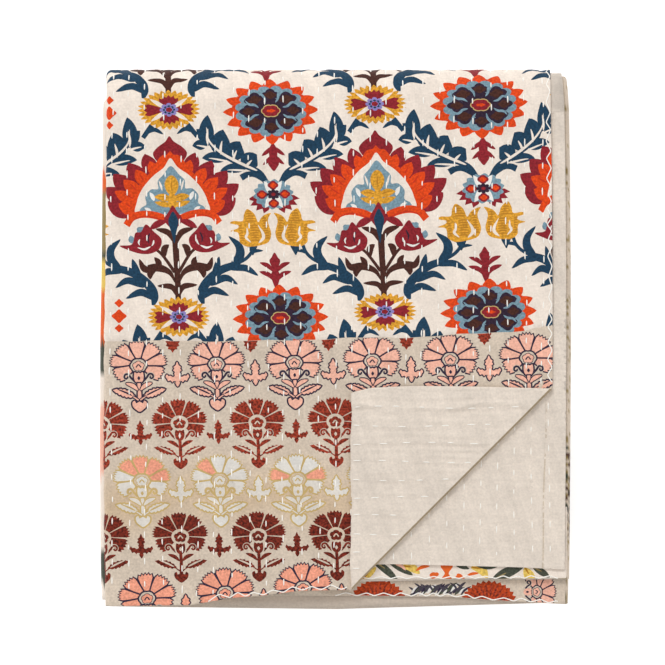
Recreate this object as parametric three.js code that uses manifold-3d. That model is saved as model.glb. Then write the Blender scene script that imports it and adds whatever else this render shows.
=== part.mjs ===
// A quilt folded in four across its width and in four again along its length, lying flat, with the
// bottom right corner of its top layer turned back.
// In mm: x to the right, y up the folded quilt, z up, origin at the middle of the resting face.
import * as THREE from "three";
import { mergeVertices } from "three/addons/utils/BufferGeometryUtils.js";
import Module from "manifold-3d";

// Cloth and layers
const CLOTH = 1.8; // front, backing and stitches together
const GAP = 0.5; // air between two layers
const PITCH = CLOTH + GAP; // from one layer to the next
const SLAB = 4 * CLOTH + 3 * GAP; // the quilt folded in four across its width
const LIFT = SLAB + GAP; // from one such slab to the next
const HEIGHT = 4 * SLAB + 3 * GAP; // the folded quilt without the turned corner

// Folds along the length, as heights of y
const TOP_FOLD = 190.2; // outermost reach of the wide fold at the top
const TOP_DEPTH = 24; // how far the middle of that fold reaches past its centre
const TOP_CENTRE = TOP_FOLD - TOP_DEPTH - SLAB / 2;
const INNER_CENTRE = TOP_CENTRE - 1;
const BOTTOM_FOLD = -185.5;
const BOTTOM_CENTRE = BOTTOM_FOLD + LIFT / 2 + SLAB / 2;

// Quilting and seam on the printed face
const STITCH_ROWS = 26; // rows of running stitch across one folded width
const QUILT_DEPTH = 0.4; // how far a row sinks between its two puffs
const SEAM_DEPTH = 0.5; // groove of the seam between the two printed panels
const SEAM_HALF = 1.6;
const FLAP_DEPTH = 0.25; // the same rows on the turned corner, which shows the backing

// Turned corner
const FOLD_RIGHT = { x: 153.5, y: -33.8 }; // where the turned fold meets the right edge
const FLAP_STEPS = 24; // even steps along the turned fold
const FLAP_LEG = 145; // from that point down to the corner before it was turned
const TAB = 2; // hidden overlap that joins the turned corner to its layer
const TAB_STEP = 0.4;
const FLAP_TIP = 0.6; // width of the turned corner where its section begins and ends

// How far each slab reaches, in the order of the cloth: top, bottom, third and second slab
const SLAB_REACH = [
  { left: -163.2, right: 166.6, firstEnd: 153.5, lastEnd: 163.2 },
  { left: -164.6, right: 164.4, firstEnd: 154.5, lastEnd: 160.5 },
  { left: -166.6, right: 165.2, firstEnd: 156.0, lastEnd: 161.0 },
  { left: -165.9, right: 166.2, firstEnd: 152.0, lastEnd: 160.0 },
];

// Waviness of the side edges up the quilt
const SIDE_WAVES = [
  { y: -200, left: 0.6, right: -1.2 },
  { y: -150, left: -0.4, right: -0.4 },
  { y: -80, left: -0.9, right: 0.2 },
  { y: -5, left: -0.6, right: 0.6 },
  { y: 60, left: 0.5, right: 0.4 },
  { y: 125, left: 1.0, right: -0.2 },
  { y: 200, left: 1.6, right: -1.6 },
];

// y of the two bound ends and of the panel seam along the width of the cloth.
// Whole numbers of w are the ends of layers and folds: 0 to 1 is the top layer from right to left.
const ENDS = [
  { w: 0.0, first: -178.2, last: -184.5, seam: 8.4 },
  { w: 0.06, first: -178.4, last: -184.8, seam: 5.0 },
  { w: 0.3, first: -178.8, last: -185.0, seam: 0.4 },
  { w: 0.46, first: -178.8, last: -185.2, seam: -0.4 },
  { w: 0.57, first: -179.4, last: -185.2, seam: -1.6 },
  { w: 0.65, first: -182.6, last: -185.4, seam: -2.3 },
  { w: 0.73, first: -184.6, last: -185.6, seam: -2.4 },
  { w: 0.82, first: -189.6, last: -185.8, seam: -2.5 },
  { w: 1.0, first: -190.2, last: -186.0, seam: -2.5 },
  { w: 2.0, first: -189.6, last: -186.2, seam: -2.5 },
  { w: 2.5, first: -181.0, last: -182.6, seam: -2.0 },
  { w: 2.9, first: -174.0, last: -183.2, seam: -1.5 },
  { w: 3.0, first: -172.0, last: -187.2, seam: -1.0 },
  { w: 4.0, first: -171.0, last: -187.6, seam: -1.0 },
  { w: 4.5, first: -171.6, last: -187.8, seam: -1.0 },
  { w: 5.0, first: -175.0, last: -190.6, seam: -1.0 },
  { w: 6.0, first: -173.0, last: -190.2, seam: -1.0 },
  { w: 6.5, first: -167.0, last: -187.0, seam: -1.0 },
  { w: 7.0, first: -163.6, last: -185.0, seam: -1.0 },
];

// Long, low swells of the whole stack, as shares of the height
const SWELLS = [
  { share: 0.02, across: 330, along: 420, turnX: 0.4, turnY: 0.2 },
  { share: 0.012, across: 260, along: 300, turnX: -1.1, turnY: 1.3 },
];
const SLUMP = 0.05; // how much lower, as a share, the open ends lie than the wide fold

// Folds across the width, as the pieces of the cloth's section in order
const WIDTH_STEPS = [6, 6, 6, 4, 6, 4, 6];
const LENGTH_STEPS = [0, 8, 6, 4, 6, 4, 6];
const LOWER_STEPS = 5; // of the top slab, from its bound end to the seam
const UPPER_STEPS = 5; // from the seam to the top fold

function mix(a, b, share) {
  return a + (b - a) * share;
}

// A column of a table at a key, straight between rows.
function lookup(table, key, at, column) {
  const last = table.length - 1;
  for (let i = 0; i < last; i++) {
    const from = table[i];
    const to = table[i + 1];
    if (at <= to[key] || i === last - 1) {
      const share = (at - from[key]) / (to[key] - from[key]);
      return mix(from[column], to[column], THREE.MathUtils.clamp(share, 0, 1));
    }
  }
}

// Height of the middle of a layer in its slab, the first layer being the top one.
function layerHeight(layer) {
  return (4 - layer) * PITCH + CLOTH / 2;
}

// The slab's reach at a place along the length, between two slabs on the fold that joins them.
function reachAt(length, y) {
  const piece = Math.min(Math.floor(length), 6);
  const slab = Math.floor(piece / 2);
  const onFold = piece % 2 === 1;
  const from = SLAB_REACH[slab];
  const to = SLAB_REACH[onFold ? slab + 1 : slab];
  const share = onFold ? length - piece : 0;
  const left = lookup(SIDE_WAVES, "y", y, "left");
  const right = lookup(SIDE_WAVES, "y", y, "right");
  return {
    left: mix(from.left, to.left, share) + left,
    right: mix(from.right, to.right, share) + right,
    firstEnd: mix(from.firstEnd, to.firstEnd, share) + right,
    lastEnd: mix(from.lastEnd, to.lastEnd, share) + right,
  };
}

// A point of the slab's section at w, offset from the middle of the cloth towards its printed face.
function sectionPoint(w, reach, offset) {
  const piece = Math.min(Math.floor(w), 6);
  const share = w - piece;
  const leftCentre = reach.left + 1.5 * PITCH + CLOTH / 2;
  const rightCentre = reach.right - PITCH / 2 - CLOTH / 2;
  const straight = (from, to, layer, facing) => ({
    x: mix(from, to, share),
    h: layerHeight(layer) + facing * offset,
  });
  const bend = (centre, layers, start, sweep, radius) => {
    const angle = start + sweep * share;
    const middle = (layerHeight(layers[0]) + layerHeight(layers[1])) / 2;
    return {
      x: centre + radius * Math.cos(angle),
      h: middle + radius * Math.sin(angle),
    };
  };
  const down = -Math.PI / 2;
  if (piece === 0) return straight(reach.firstEnd, leftCentre, 1, 1);
  if (piece === 1) return bend(leftCentre, [1, 4], -down, Math.PI, 1.5 * PITCH + offset);
  if (piece === 2) return straight(leftCentre, rightCentre, 4, -1);
  if (piece === 3) return bend(rightCentre, [4, 3], down, Math.PI, PITCH / 2 + offset);
  if (piece === 4) return straight(rightCentre, leftCentre, 3, 1);
  if (piece === 5) return bend(leftCentre, [3, 2], down, -Math.PI, PITCH / 2 - offset);
  return straight(leftCentre, reach.lastEnd, 2, -1);
}

// The slab's middle line at a place along the length, and which way the slab's top faces there.
function lengthPoint(length, w) {
  const piece = Math.min(Math.floor(length), 6);
  const share = length - piece;
  const middle = SLAB / 2;
  const straight = (from, to, slab, facing) => ({
    y: mix(from, to, share),
    z: slab * LIFT + middle,
    ny: 0,
    nz: facing,
  });
  const bend = (centre, height, across, up, start, sweep, facing) => {
    const angle = start + sweep * share;
    const normal = new THREE.Vector2(Math.cos(angle) / across, Math.sin(angle) / up);
    normal.normalize().multiplyScalar(facing);
    return {
      y: centre + across * Math.cos(angle),
      z: height + up * Math.sin(angle),
      ny: normal.x,
      nz: normal.y,
    };
  };
  const down = -Math.PI / 2;
  const first = lookup(ENDS, "w", w, "first");
  const last = lookup(ENDS, "w", w, "last");
  const half = LIFT / 2;
  if (piece === 0) return straight(first, TOP_CENTRE, 3, 1);
  if (piece === 1) return bend(TOP_CENTRE, HEIGHT / 2, TOP_DEPTH, 1.5 * LIFT, -down, -Math.PI, 1);
  if (piece === 2) return straight(TOP_CENTRE, BOTTOM_CENTRE, 0, -1);
  if (piece === 3) return bend(BOTTOM_CENTRE, middle + half, half, half, down, -Math.PI, 1);
  if (piece === 4) return straight(BOTTOM_CENTRE, INNER_CENTRE, 1, 1);
  if (piece === 5) return bend(INNER_CENTRE, middle + 1.5 * LIFT, half, half, down, Math.PI, -1);
  return straight(INNER_CENTRE, last, 2, -1);
}

// The share of the top slab's length at which y lies, for one place across the width.
function topShare(y, w) {
  const first = lookup(ENDS, "w", w, "first");
  return (y - first) / (TOP_CENTRE - first);
}

// A point of one face of the folded cloth. Side 1 is the printed face and -1 the backing.
function clothPoint(w, length, side, sunk) {
  const line = lengthPoint(length, w);
  const reach = reachAt(length, line.y);
  const at = sectionPoint(w, reach, side * (CLOTH / 2 - sunk));
  const rise = at.h - SLAB / 2;
  return [at.x, line.y + line.ny * rise, line.z + line.nz * rise];
}

// How far the printed face sinks at a stitch row or at the seam.
function sunkAt(w, length, seamRow) {
  if (w >= 1 || length > 2) return 0;
  const fade = THREE.MathUtils.clamp(2 * (2 - length), 0, 1);
  const row = 0.5 - 0.5 * Math.cos(2 * Math.PI * STITCH_ROWS * w);
  const uneven = 0.8 + 0.2 * Math.sin(37 * w + 5 * length);
  return QUILT_DEPTH * row * uneven * fade + (seamRow ? SEAM_DEPTH : 0);
}

// Stations along the width, with the stitch rows of the top layer when they are wanted.
function widthStations(quilted) {
  const stations = [0];
  WIDTH_STEPS.forEach((steps, piece) => {
    const count = piece === 0 && quilted ? 2 * STITCH_ROWS : steps;
    for (let i = 1; i <= count; i++) stations.push(piece + i / count);
  });
  return stations;
}

// Rows along the length. Those of the top slab follow its bound end and the seam.
function lengthRows() {
  const rows = [];
  const row = (seam, at) => rows.push({ seam, at });
  const end = (w) => lookup(ENDS, "w", w, "first");
  const seam = (w) => lookup(ENDS, "w", w, "seam");
  for (let i = 0; i <= LOWER_STEPS; i++) {
    row(false, (w) => topShare(mix(end(w), seam(w) - SEAM_HALF, i / LOWER_STEPS), w));
  }
  row(true, (w) => topShare(seam(w), w));
  for (let i = 0; i <= UPPER_STEPS; i++) {
    row(false, (w) => topShare(mix(seam(w) + SEAM_HALF, TOP_CENTRE, i / UPPER_STEPS), w));
  }
  for (let piece = 1; piece < LENGTH_STEPS.length; piece++) {
    const steps = LENGTH_STEPS[piece];
    for (let i = 1; i <= steps; i++) row(false, () => piece + i / steps);
  }
  return rows;
}

// Points and triangles of a closed body, built from rows of places on its two faces.
class Body {
  constructor() {
    this.points = [];
    this.faces = [];
  }

  add(point) {
    this.points.push(...point);
    return this.points.length / 3 - 1;
  }

  // A strip of triangles between two rows, whose places each carry their station along the row.
  join(below, above) {
    let i = 0;
    let j = 0;
    while (i < below.length - 1 || j < above.length - 1) {
      const next = i < below.length - 1 ? below[i + 1].at : Infinity;
      const other = j < above.length - 1 ? above[j + 1].at : Infinity;
      const from = below[i].id;
      const across = above[j].id;
      if (next < other) i += 1;
      else j += 1;
      this.faces.push(across, next < other ? below[i].id : above[j].id, from);
    }
  }

  // Both faces, and the four edges between them, from matching rows of the two faces.
  close(front, back) {
    const column = (rows, place) => rows.map((row, at) => ({ at, id: row.at(place).id }));
    for (let i = 0; i < front.length - 1; i++) {
      this.join(front[i], front[i + 1]);
      this.join(back[i + 1], back[i]);
    }
    this.join(back[0], front[0]);
    this.join(front.at(-1), back.at(-1));
    this.join(column(front, 0), column(back, 0));
    this.join(column(back, -1), column(front, -1));
  }
}

// The whole cloth, folded both ways.
function foldedCloth() {
  const body = new Body();
  const rows = lengthRows();
  const face = (side) =>
    rows.map((row) =>
      widthStations(side > 0 && row.at(0) <= 2).map((w) => {
        const length = row.at(w);
        const sunk = side > 0 ? sunkAt(w, length, row.seam) : 0;
        return { at: w, id: body.add(clothPoint(w, length, side, sunk)) };
      }),
    );
  body.close(face(1), face(-1));
  return body;
}

// A point of the turned corner. Along runs down the fold from its right end, and out is how far
// the flat cloth reaches from the fold.
function cornerPoint(along, out, side, inset, sunk) {
  const radius = PITCH / 2;
  const angle = THREE.MathUtils.clamp(out / radius, 0, Math.PI);
  const reach = radius - side * (CLOTH / 2 - inset);
  const past = Math.min(out, 0) + Math.min(Math.PI * radius - out, 0);
  const away = past + reach * Math.sin(angle);
  return [
    FOLD_RIGHT.x - (along - away) * Math.SQRT1_2,
    FOLD_RIGHT.y - (along + away) * Math.SQRT1_2,
    HEIGHT + GAP / 2 - reach * Math.cos(angle) - sunk,
  ];
}

// The turned corner, a right-angled triangle folded back along its long side.
function turnedCorner() {
  const body = new Body();
  const long = FLAP_LEG * Math.SQRT2;
  const step = long / FLAP_STEPS;
  const turn = (Math.PI * PITCH) / 2;
  const outs = [-TAB, -TAB_STEP, 0, turn / 4, turn / 2, (3 * turn) / 4, turn];
  for (let j = 1; j <= FLAP_STEPS / 2; j++) outs.push(j * step);
  const stations = (out) => {
    const start = Math.max(out, FLAP_TIP);
    const list = [start];
    for (let i = 1; i < FLAP_STEPS; i++) {
      if (i * step > start + TAB_STEP && i * step < long - start - TAB_STEP) list.push(i * step);
    }
    if (long - start > start + TAB_STEP) list.push(long - start);
    return list;
  };
  const face = (side) =>
    outs.map((out) =>
      stations(out).map((along) => {
        const inset = out < 0 ? 0.4 + 0.2 * side : 0;
        const row = 0.5 - 0.5 * Math.cos((Math.PI * (along - out)) / step);
        const sunk = side < 0 && out > turn ? FLAP_DEPTH * row : 0;
        return { at: along, id: body.add(cornerPoint(along, out, side, inset, sunk)) };
      }),
    );
  body.close(face(-1), face(1));
  return body;
}

// Everything of the top layer beyond the turned fold.
function cornerCut() {
  const margin = 30;
  const leg = FLAP_LEG + 2 * margin;
  const x = FOLD_RIGHT.x + margin;
  const y = FOLD_RIGHT.y + margin;
  const corners = [[0, 0], [leg, leg], [0, leg]].map(([left, down]) => new THREE.Vector2(x - left, y - down));
  const cut = new THREE.ExtrudeGeometry(new THREE.Shape(corners), { depth: 2 * CLOTH, bevelEnabled: false });
  return cut.translate(0, 0, HEIGHT - CLOTH - GAP / 2);
}

// The stack swells a little and lies lower at its open ends. The resting face stays flat.
function settle(geometry) {
  const place = geometry.getAttribute("position");
  const turn = 2 * Math.PI;
  for (let i = 0; i < place.count; i++) {
    const x = place.getX(i);
    const y = place.getY(i);
    let factor = 1 - (SLUMP * (TOP_FOLD - y)) / (2 * TOP_FOLD);
    for (const { share, across, along, turnX, turnY } of SWELLS) {
      factor += share * Math.cos((turn * x) / across + turnX) * Math.cos((turn * y) / along + turnY);
    }
    place.setZ(i, factor * place.getZ(i));
  }
}

const wasm = await Module();
wasm.setup();

function solidOf(points, faces) {
  const vertProperties = new Float32Array(points);
  return new wasm.Manifold(new wasm.Mesh({ numProp: 3, vertProperties, triVerts: new Uint32Array(faces) }));
}

function solidOfGeometry(geometry) {
  const bare = new THREE.BufferGeometry();
  bare.setAttribute("position", geometry.getAttribute("position"));
  const merged = mergeVertices(bare, 1e-3);
  return solidOf(merged.getAttribute("position").array, merged.index.array);
}

function geometryOf(solid) {
  const mesh = solid.getMesh();
  const points = [];
  for (let i = 0; i < mesh.numVert; i++) {
    points.push(...mesh.vertProperties.subarray(i * mesh.numProp, i * mesh.numProp + 3));
  }
  const geometry = new THREE.BufferGeometry();
  geometry.setAttribute("position", new THREE.Float32BufferAttribute(points, 3));
  geometry.setIndex([...mesh.triVerts]);
  return geometry;
}

const cloth = foldedCloth();
const corner = turnedCorner();
const quiltSolid = solidOf(cloth.points, cloth.faces)
  .subtract(solidOfGeometry(cornerCut()))
  .add(solidOf(corner.points, corner.faces));
const quiltGeometry = geometryOf(quiltSolid);
settle(quiltGeometry);
quiltGeometry.computeBoundingBox();
const middle = quiltGeometry.boundingBox.getCenter(new THREE.Vector3());
quiltGeometry.translate(-middle.x, -middle.y, 0);
quiltGeometry.computeVertexNormals();

const fabric = new THREE.MeshStandardMaterial({ color: 0xddd0bd, roughness: 0.9, metalness: 0 });
const quilt = new THREE.Mesh(quiltGeometry, fabric);
quilt.name = "quilt";

const part = new THREE.Group();
part.name = "folded_quilt";
part.add(quilt);

export default part;
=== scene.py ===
"""A printed, hand-stitched quilt folded in four both ways, with its top corner turned back.

Lengths are in millimetres until the points are made, then in metres. Folded x runs right, y up the quilt,
z up. Flat places on a layer are given as they lie when seen from above, before the folds take them round.
"""
import math

import bpy
import numpy as np
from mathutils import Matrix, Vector
from mathutils.geometry import delaunay_2d_cdt


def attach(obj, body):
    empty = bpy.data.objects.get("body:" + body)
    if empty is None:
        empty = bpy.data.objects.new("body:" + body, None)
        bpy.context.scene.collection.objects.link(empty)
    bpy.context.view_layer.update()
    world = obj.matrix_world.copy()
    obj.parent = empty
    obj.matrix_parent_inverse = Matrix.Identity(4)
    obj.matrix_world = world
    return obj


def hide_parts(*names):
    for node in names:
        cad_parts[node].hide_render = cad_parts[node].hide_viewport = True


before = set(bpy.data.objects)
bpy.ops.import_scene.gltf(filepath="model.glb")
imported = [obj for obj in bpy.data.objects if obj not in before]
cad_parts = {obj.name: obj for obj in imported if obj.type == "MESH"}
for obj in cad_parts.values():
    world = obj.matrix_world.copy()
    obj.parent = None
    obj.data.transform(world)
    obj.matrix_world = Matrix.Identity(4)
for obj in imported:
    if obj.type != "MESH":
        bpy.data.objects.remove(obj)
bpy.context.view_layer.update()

MM = 0.001
DIAGONAL = math.sqrt(0.5)  # how far one step along the turned fold goes across, or up

# Cloth and layers, as in the solid
CLOTH = 1.8
GAP = 0.5
PITCH = CLOTH + GAP
SLAB = 4 * CLOTH + 3 * GAP
LIFT = SLAB + GAP
HEIGHT = 4 * SLAB + 3 * GAP
TOP_FOLD = 190.2
TOP_DEPTH = 24.0
TOP_CENTRE = TOP_FOLD - TOP_DEPTH - SLAB / 2
INNER_CENTRE = TOP_CENTRE - 1
BOTTOM_FOLD = -185.5
BOTTOM_CENTRE = BOTTOM_FOLD + LIFT / 2 + SLAB / 2
FOLD_RIGHT = (153.5, -33.8)
FLAP_LEG = 145.0
MIDDLE = (-0.12, -0.2)  # centre of the folded outline, which is the frame's origin
TOP_WIDTH = 312.0  # of the top layer, near enough to find w from x

# How far each slab reaches, in the order of the cloth: top, bottom, third and second slab
SLAB_REACH = [
    {"left": -163.2, "right": 166.6, "first_end": 153.5, "last_end": 163.2},
    {"left": -164.6, "right": 164.4, "first_end": 154.5, "last_end": 160.5},
    {"left": -166.6, "right": 165.2, "first_end": 156.0, "last_end": 161.0},
    {"left": -165.9, "right": 166.2, "first_end": 152.0, "last_end": 160.0},
]
# How far the left and right sides stray at heights of the folded quilt
SIDE_WAVES = [
    {"y": -200, "left": 0.6, "right": -1.2},
    {"y": -150, "left": -0.4, "right": -0.4},
    {"y": -80, "left": -0.9, "right": 0.2},
    {"y": -5, "left": -0.6, "right": 0.6},
    {"y": 60, "left": 0.5, "right": 0.4},
    {"y": 125, "left": 1.0, "right": -0.2},
    {"y": 200, "left": 1.6, "right": -1.6},
]
# Bound ends and panel seam across the cloth: whole numbers of w are the ends of layers and folds
ENDS = [
    {"w": 0.0, "first": -178.2, "last": -184.5, "seam": 8.4},
    {"w": 0.06, "first": -178.4, "last": -184.8, "seam": 5.0},
    {"w": 0.3, "first": -178.8, "last": -185.0, "seam": 0.4},
    {"w": 0.46, "first": -178.8, "last": -185.2, "seam": -0.4},
    {"w": 0.57, "first": -179.4, "last": -185.2, "seam": -1.6},
    {"w": 0.65, "first": -182.6, "last": -185.4, "seam": -2.3},
    {"w": 0.73, "first": -184.6, "last": -185.6, "seam": -2.4},
    {"w": 0.82, "first": -189.6, "last": -185.8, "seam": -2.5},
    {"w": 1.0, "first": -190.2, "last": -186.0, "seam": -2.5},
    {"w": 2.0, "first": -189.6, "last": -186.2, "seam": -2.5},
    {"w": 2.17, "first": -188.6, "last": -185.0, "seam": -2.3},
    {"w": 2.26, "first": -183.6, "last": -184.4, "seam": -2.2},
    {"w": 2.42, "first": -178.0, "last": -183.2, "seam": -2.1},
    {"w": 2.5, "first": -173.4, "last": -183.4, "seam": -2.0},
    {"w": 2.75, "first": -172.0, "last": -184.2, "seam": -1.7},
    {"w": 2.84, "first": -171.8, "last": -186.6, "seam": -1.6},
    {"w": 3.0, "first": -171.4, "last": -189.2, "seam": -1.0},
    {"w": 4.0, "first": -171.0, "last": -188.0, "seam": -1.0},
    {"w": 4.15, "first": -171.2, "last": -189.4, "seam": -1.0},
    {"w": 4.5, "first": -171.6, "last": -192.8, "seam": -1.0},
    {"w": 5.0, "first": -175.0, "last": -190.8, "seam": -1.0},
    {"w": 6.0, "first": -173.0, "last": -190.2, "seam": -1.0},
    {"w": 6.5, "first": -161.6, "last": -187.0, "seam": -1.0},
    {"w": 6.62, "first": -160.6, "last": -186.5, "seam": -1.0},
    {"w": 6.9, "first": -162.8, "last": -185.4, "seam": -1.0},
    {"w": 7.0, "first": -164.4, "last": -185.0, "seam": -1.0},
]
# Waves of the stack's height, as shares of it
SWELLS = [
    {"share": 0.02, "across": 330, "along": 420, "turn_x": 0.4, "turn_y": 0.2},
    {"share": 0.012, "across": 260, "along": 300, "turn_x": -1.1, "turn_y": 1.3},
]
SLUMP = 0.05  # how much lower the stack lies at its open ends, as a share
ROUNDED = 1.0  # width of the rounding at a bound edge
EDGE_DROP = 0.85  # and how far it drops
# How far the body lies back behind the printed faces that lie on it, so that they never meet
SUNK_TOP = 0.9
SUNK_ELSEWHERE = 0.3

# Faces that lie on the body: spacing of their points by layer, and how far they reach
SKIN_GRID = {"top": 1.9, "under": 5.0, "second": 1.5, "third": 2.2, "fifth": 2.2}
ROUND_LEFT = 9.0  # round the left folds
END_LINES = (0.15, 0.4, 0.9)  # extra lines near a bound edge, for its rounding
UNDER_REACH = 338  # how much of the print goes on underneath, with some to spare
LOW_LEFT = -10.0  # left ends of the lower strips, hidden under the top layer
STRIP_RIGHT = 164.5  # right ends of the lower strips
UNCOVERED = 147.0  # the second layer shows past the top layer from here on
SECOND_LOW = -176.0  # lowest place of the second layer's right edge and hem
SECOND_TOP = FOLD_RIGHT[1] + 4  # where that layer goes under the top layer

# Stitching
STITCH_ROW = 12.2
STITCH_ROWS = 27
FIRST_ROW = 146.5
SECOND_FIRST_ROW = 151.6
SECOND_ROWS = 15
LOWEST_STITCH = -188.0
LOWEST_SECOND_STITCH = -164.0
STITCHED_UNDER = 300  # how far the rows go on underneath
STITCH_LONG = 5.8
STITCH_STEP = 14.5
THREAD_WIDE = 1.0
THREAD_HIGH = 0.55
THREAD_SIDES = 6
ZIGZAG_STEP = 12.5
# How far the five points of a stitch stand out, on the top layer, under the corner and on the corner
TOP_DIP = np.array([-0.35, 0.12, 0.2, 0.12, -0.35])
SECOND_DIP = np.array([-0.3, 0, 0.1, 0, -0.3])
CORNER_DIP = np.array([-0.35, 0, 0.08, 0, -0.35])

# Inks and cloths, as sRGB values out of 255
INKS = {
    "cream": (237, 224, 211),
    "greige": (210, 194, 176),
    "backing": (235, 222, 208),
    "navy": (27, 61, 85),
    "orange": (220, 69, 19),
    "crimson": (138, 33, 42),
    "light_blue": (120, 149, 163),
    "mustard": (217, 155, 48),
    "brown": (71, 38, 30),
    "dark": (48, 32, 50),
    "lilac": (140, 130, 190),
    "pink": (240, 181, 159),
    "outline": (50, 40, 60),
    "rust": (140, 51, 33),
    "dark_rust": (110, 37, 23),
    "white": (236, 232, 226),
    "gold_line": (196, 168, 110),
    "salmon": (237, 158, 131),
    "leaf_grey": (72, 76, 64),
    "soft_orange": (224, 100, 40),
    "soft_yellow": (228, 194, 96),
    "olive": (150, 130, 84),
    "ochre": (186, 126, 36),
    "dark_orange": (196, 50, 24),
    "feather": (70, 64, 74),
    "pearl": (222, 219, 213),
    "bright_rust": (176, 64, 26),
    # painted shade: a darker line on the bend of the turned fold
    "crease": (170, 150, 120),
    # painted shade along the groove of the hem
    "hem_line": (212, 196, 176),
    # painted shade: the backing darker on the last slab, past length 6
    "lower_backing": (208, 192, 176),
}
INK_NUMBER = {name: number for number, name in enumerate(INKS)}
# How strongly an ink is speckled: at 1 it varies by SPECKLE. The other inks take PLAIN_WEAR.
SPECKLE = 0.42
WEAR = {
    "rust": 1.6,
    "dark_rust": 1.6,
    "bright_rust": 1.0,
    "mustard": 0.7,
    "orange": 0.5,
    "navy": 0.55,
    "crimson": 0.6,
    "brown": 0.7,
    "dark": 0.7,
    "salmon": 0.4,
    "light_blue": 0.5,
    "leaf_grey": 0.7,
    "soft_yellow": 0.5,
    "pink": 0.3,
    "greige": 0.22,
}
PLAIN_WEAR = 0.12
STAIN = (206, 180, 148)  # brownish stain along the third row of carnations
STAINLESS = 900  # added to y where the stain must not reach
THREAD_TONE = (250, 246, 238)
BACK_THREAD_TONE = (254, 250, 242)
# How much of the stain each ink takes
SOAKED = {"greige": 1.0, "gold_line": 0.6, "white": 0.3, "pearl": 0.3, "salmon": 0.2}


def linear(rgb):
    """Linear values of an sRGB colour given in 255."""
    c = np.asarray(rgb, float) / 255
    return np.where(c <= 0.04045, c / 12.92, ((c + 0.055) / 1.055) ** 2.4)


def lookup(table, key, at, column):
    """The table's column between its rows, at places of its key."""
    return np.interp(at, [row[key] for row in table], [row[column] for row in table])


def line_of(x, y):
    """Flat places from their x and their y. One of them may be a single value for all."""
    return np.stack(np.broadcast_arrays(x, y), 1)


# Folding


def layer_height(layer):
    """Middle height of a layer in its slab, the top layer being the first."""
    return (4 - layer) * PITCH + CLOTH / 2


def reach_at(length, y):
    """The slab's reach at places along the length, between two slabs on the fold that joins them."""
    piece = np.clip(np.floor(length), 0, 6).astype(int)
    slab = piece // 2
    on_fold = piece % 2 == 1
    share = np.where(on_fold, length - piece, 0)
    found = {}
    for column in SLAB_REACH[0]:
        values = np.array([row[column] for row in SLAB_REACH])
        side = "left" if column == "left" else "right"
        after = values[np.minimum(slab + on_fold, 3)]
        found[column] = values[slab] * (1 - share) + after * share + lookup(SIDE_WAVES, "y", y, side)
    found["left_centre"] = found["left"] + 1.5 * PITCH + CLOTH / 2
    found["right_centre"] = found["right"] - PITCH / 2 - CLOTH / 2
    return found


def section(w, reach, offset):
    """x and height in the slab at w across the width, offset towards the printed face."""
    piece = np.clip(np.floor(w), 0, 6).astype(int)
    share = w - piece
    left, right = reach["left_centre"], reach["right_centre"]
    x = np.zeros_like(w)
    h = np.zeros_like(w)
    layers = [
        (0, reach["first_end"], left, 1, 1),
        (2, left, right, 4, -1),
        (4, right, left, 3, 1),
        (6, left, reach["last_end"], 2, -1),
    ]
    for number, start, end, layer, facing in layers:
        on = piece == number
        x[on] = (start + (end - start) * share)[on]
        h[on] = layer_height(layer) + facing * offset[on]
    folds = [
        (1, left, 2.5, 1, 1.5 * PITCH + offset),
        (3, right, 3.5, -1, PITCH / 2 + offset),
        (5, left, 2.5, -1, PITCH / 2 - offset),
    ]
    for number, centre, layer, begin, radius in folds:
        on = piece == number
        sweep = -1 if number == 5 else 1
        angle = math.pi * (begin / 2 + sweep * share[on])
        x[on] = centre[on] + radius[on] * np.cos(angle)
        h[on] = layer_height(layer) + radius[on] * np.sin(angle)
    return x, h


def length_line(length, w):
    """Middle line of the slab along the length, and the way that the slab's top faces there."""
    piece = np.clip(np.floor(length), 0, 6).astype(int)
    share = length - piece
    y, z, ny, nz = (np.zeros_like(w) for _ in range(4))
    top, inner, bottom = (np.full_like(w, v) for v in (TOP_CENTRE, INNER_CENTRE, BOTTOM_CENTRE))
    slabs = [
        (0, lookup(ENDS, "w", w, "first"), top, 3, 1),
        (2, top, bottom, 0, -1),
        (4, bottom, inner, 1, 1),
        (6, inner, lookup(ENDS, "w", w, "last"), 2, -1),
    ]
    for number, start, end, slab, facing in slabs:
        on = piece == number
        y[on] = (start + (end - start) * share)[on]
        z[on] = slab * LIFT + SLAB / 2
        nz[on] = facing
    folds = [
        (1, TOP_CENTRE, HEIGHT / 2, TOP_DEPTH, 1.5 * LIFT, 1, -1, 1),
        (3, BOTTOM_CENTRE, SLAB / 2 + LIFT / 2, LIFT / 2, LIFT / 2, -1, -1, 1),
        (5, INNER_CENTRE, SLAB / 2 + 1.5 * LIFT, LIFT / 2, LIFT / 2, -1, 1, -1),
    ]
    for number, centre, height, across, up, begin, sweep, facing in folds:
        on = piece == number
        angle = math.pi * (begin / 2 + sweep * share[on])
        cos, sin = np.cos(angle), np.sin(angle)
        size = np.hypot(cos / across, sin / up)
        y[on] = centre + across * cos
        z[on] = height + up * sin
        ny[on] = facing * cos / across / size
        nz[on] = facing * sin / up / size
    return y, z, ny, nz


def settle(points):
    """The stack swells a little and lies lower at its open ends. Gives metres in the frame."""
    x, y, z = points.T
    factor = 1 - SLUMP * (TOP_FOLD - y) / (2 * TOP_FOLD)
    for row in SWELLS:
        wave_x = np.cos(2 * math.pi * x / row["across"] + row["turn_x"])
        wave_y = np.cos(2 * math.pi * y / row["along"] + row["turn_y"])
        factor = factor + row["share"] * wave_x * wave_y
    return np.stack([x - MIDDLE[0], y - MIDDLE[1], z * factor], 1) * MM


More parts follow.
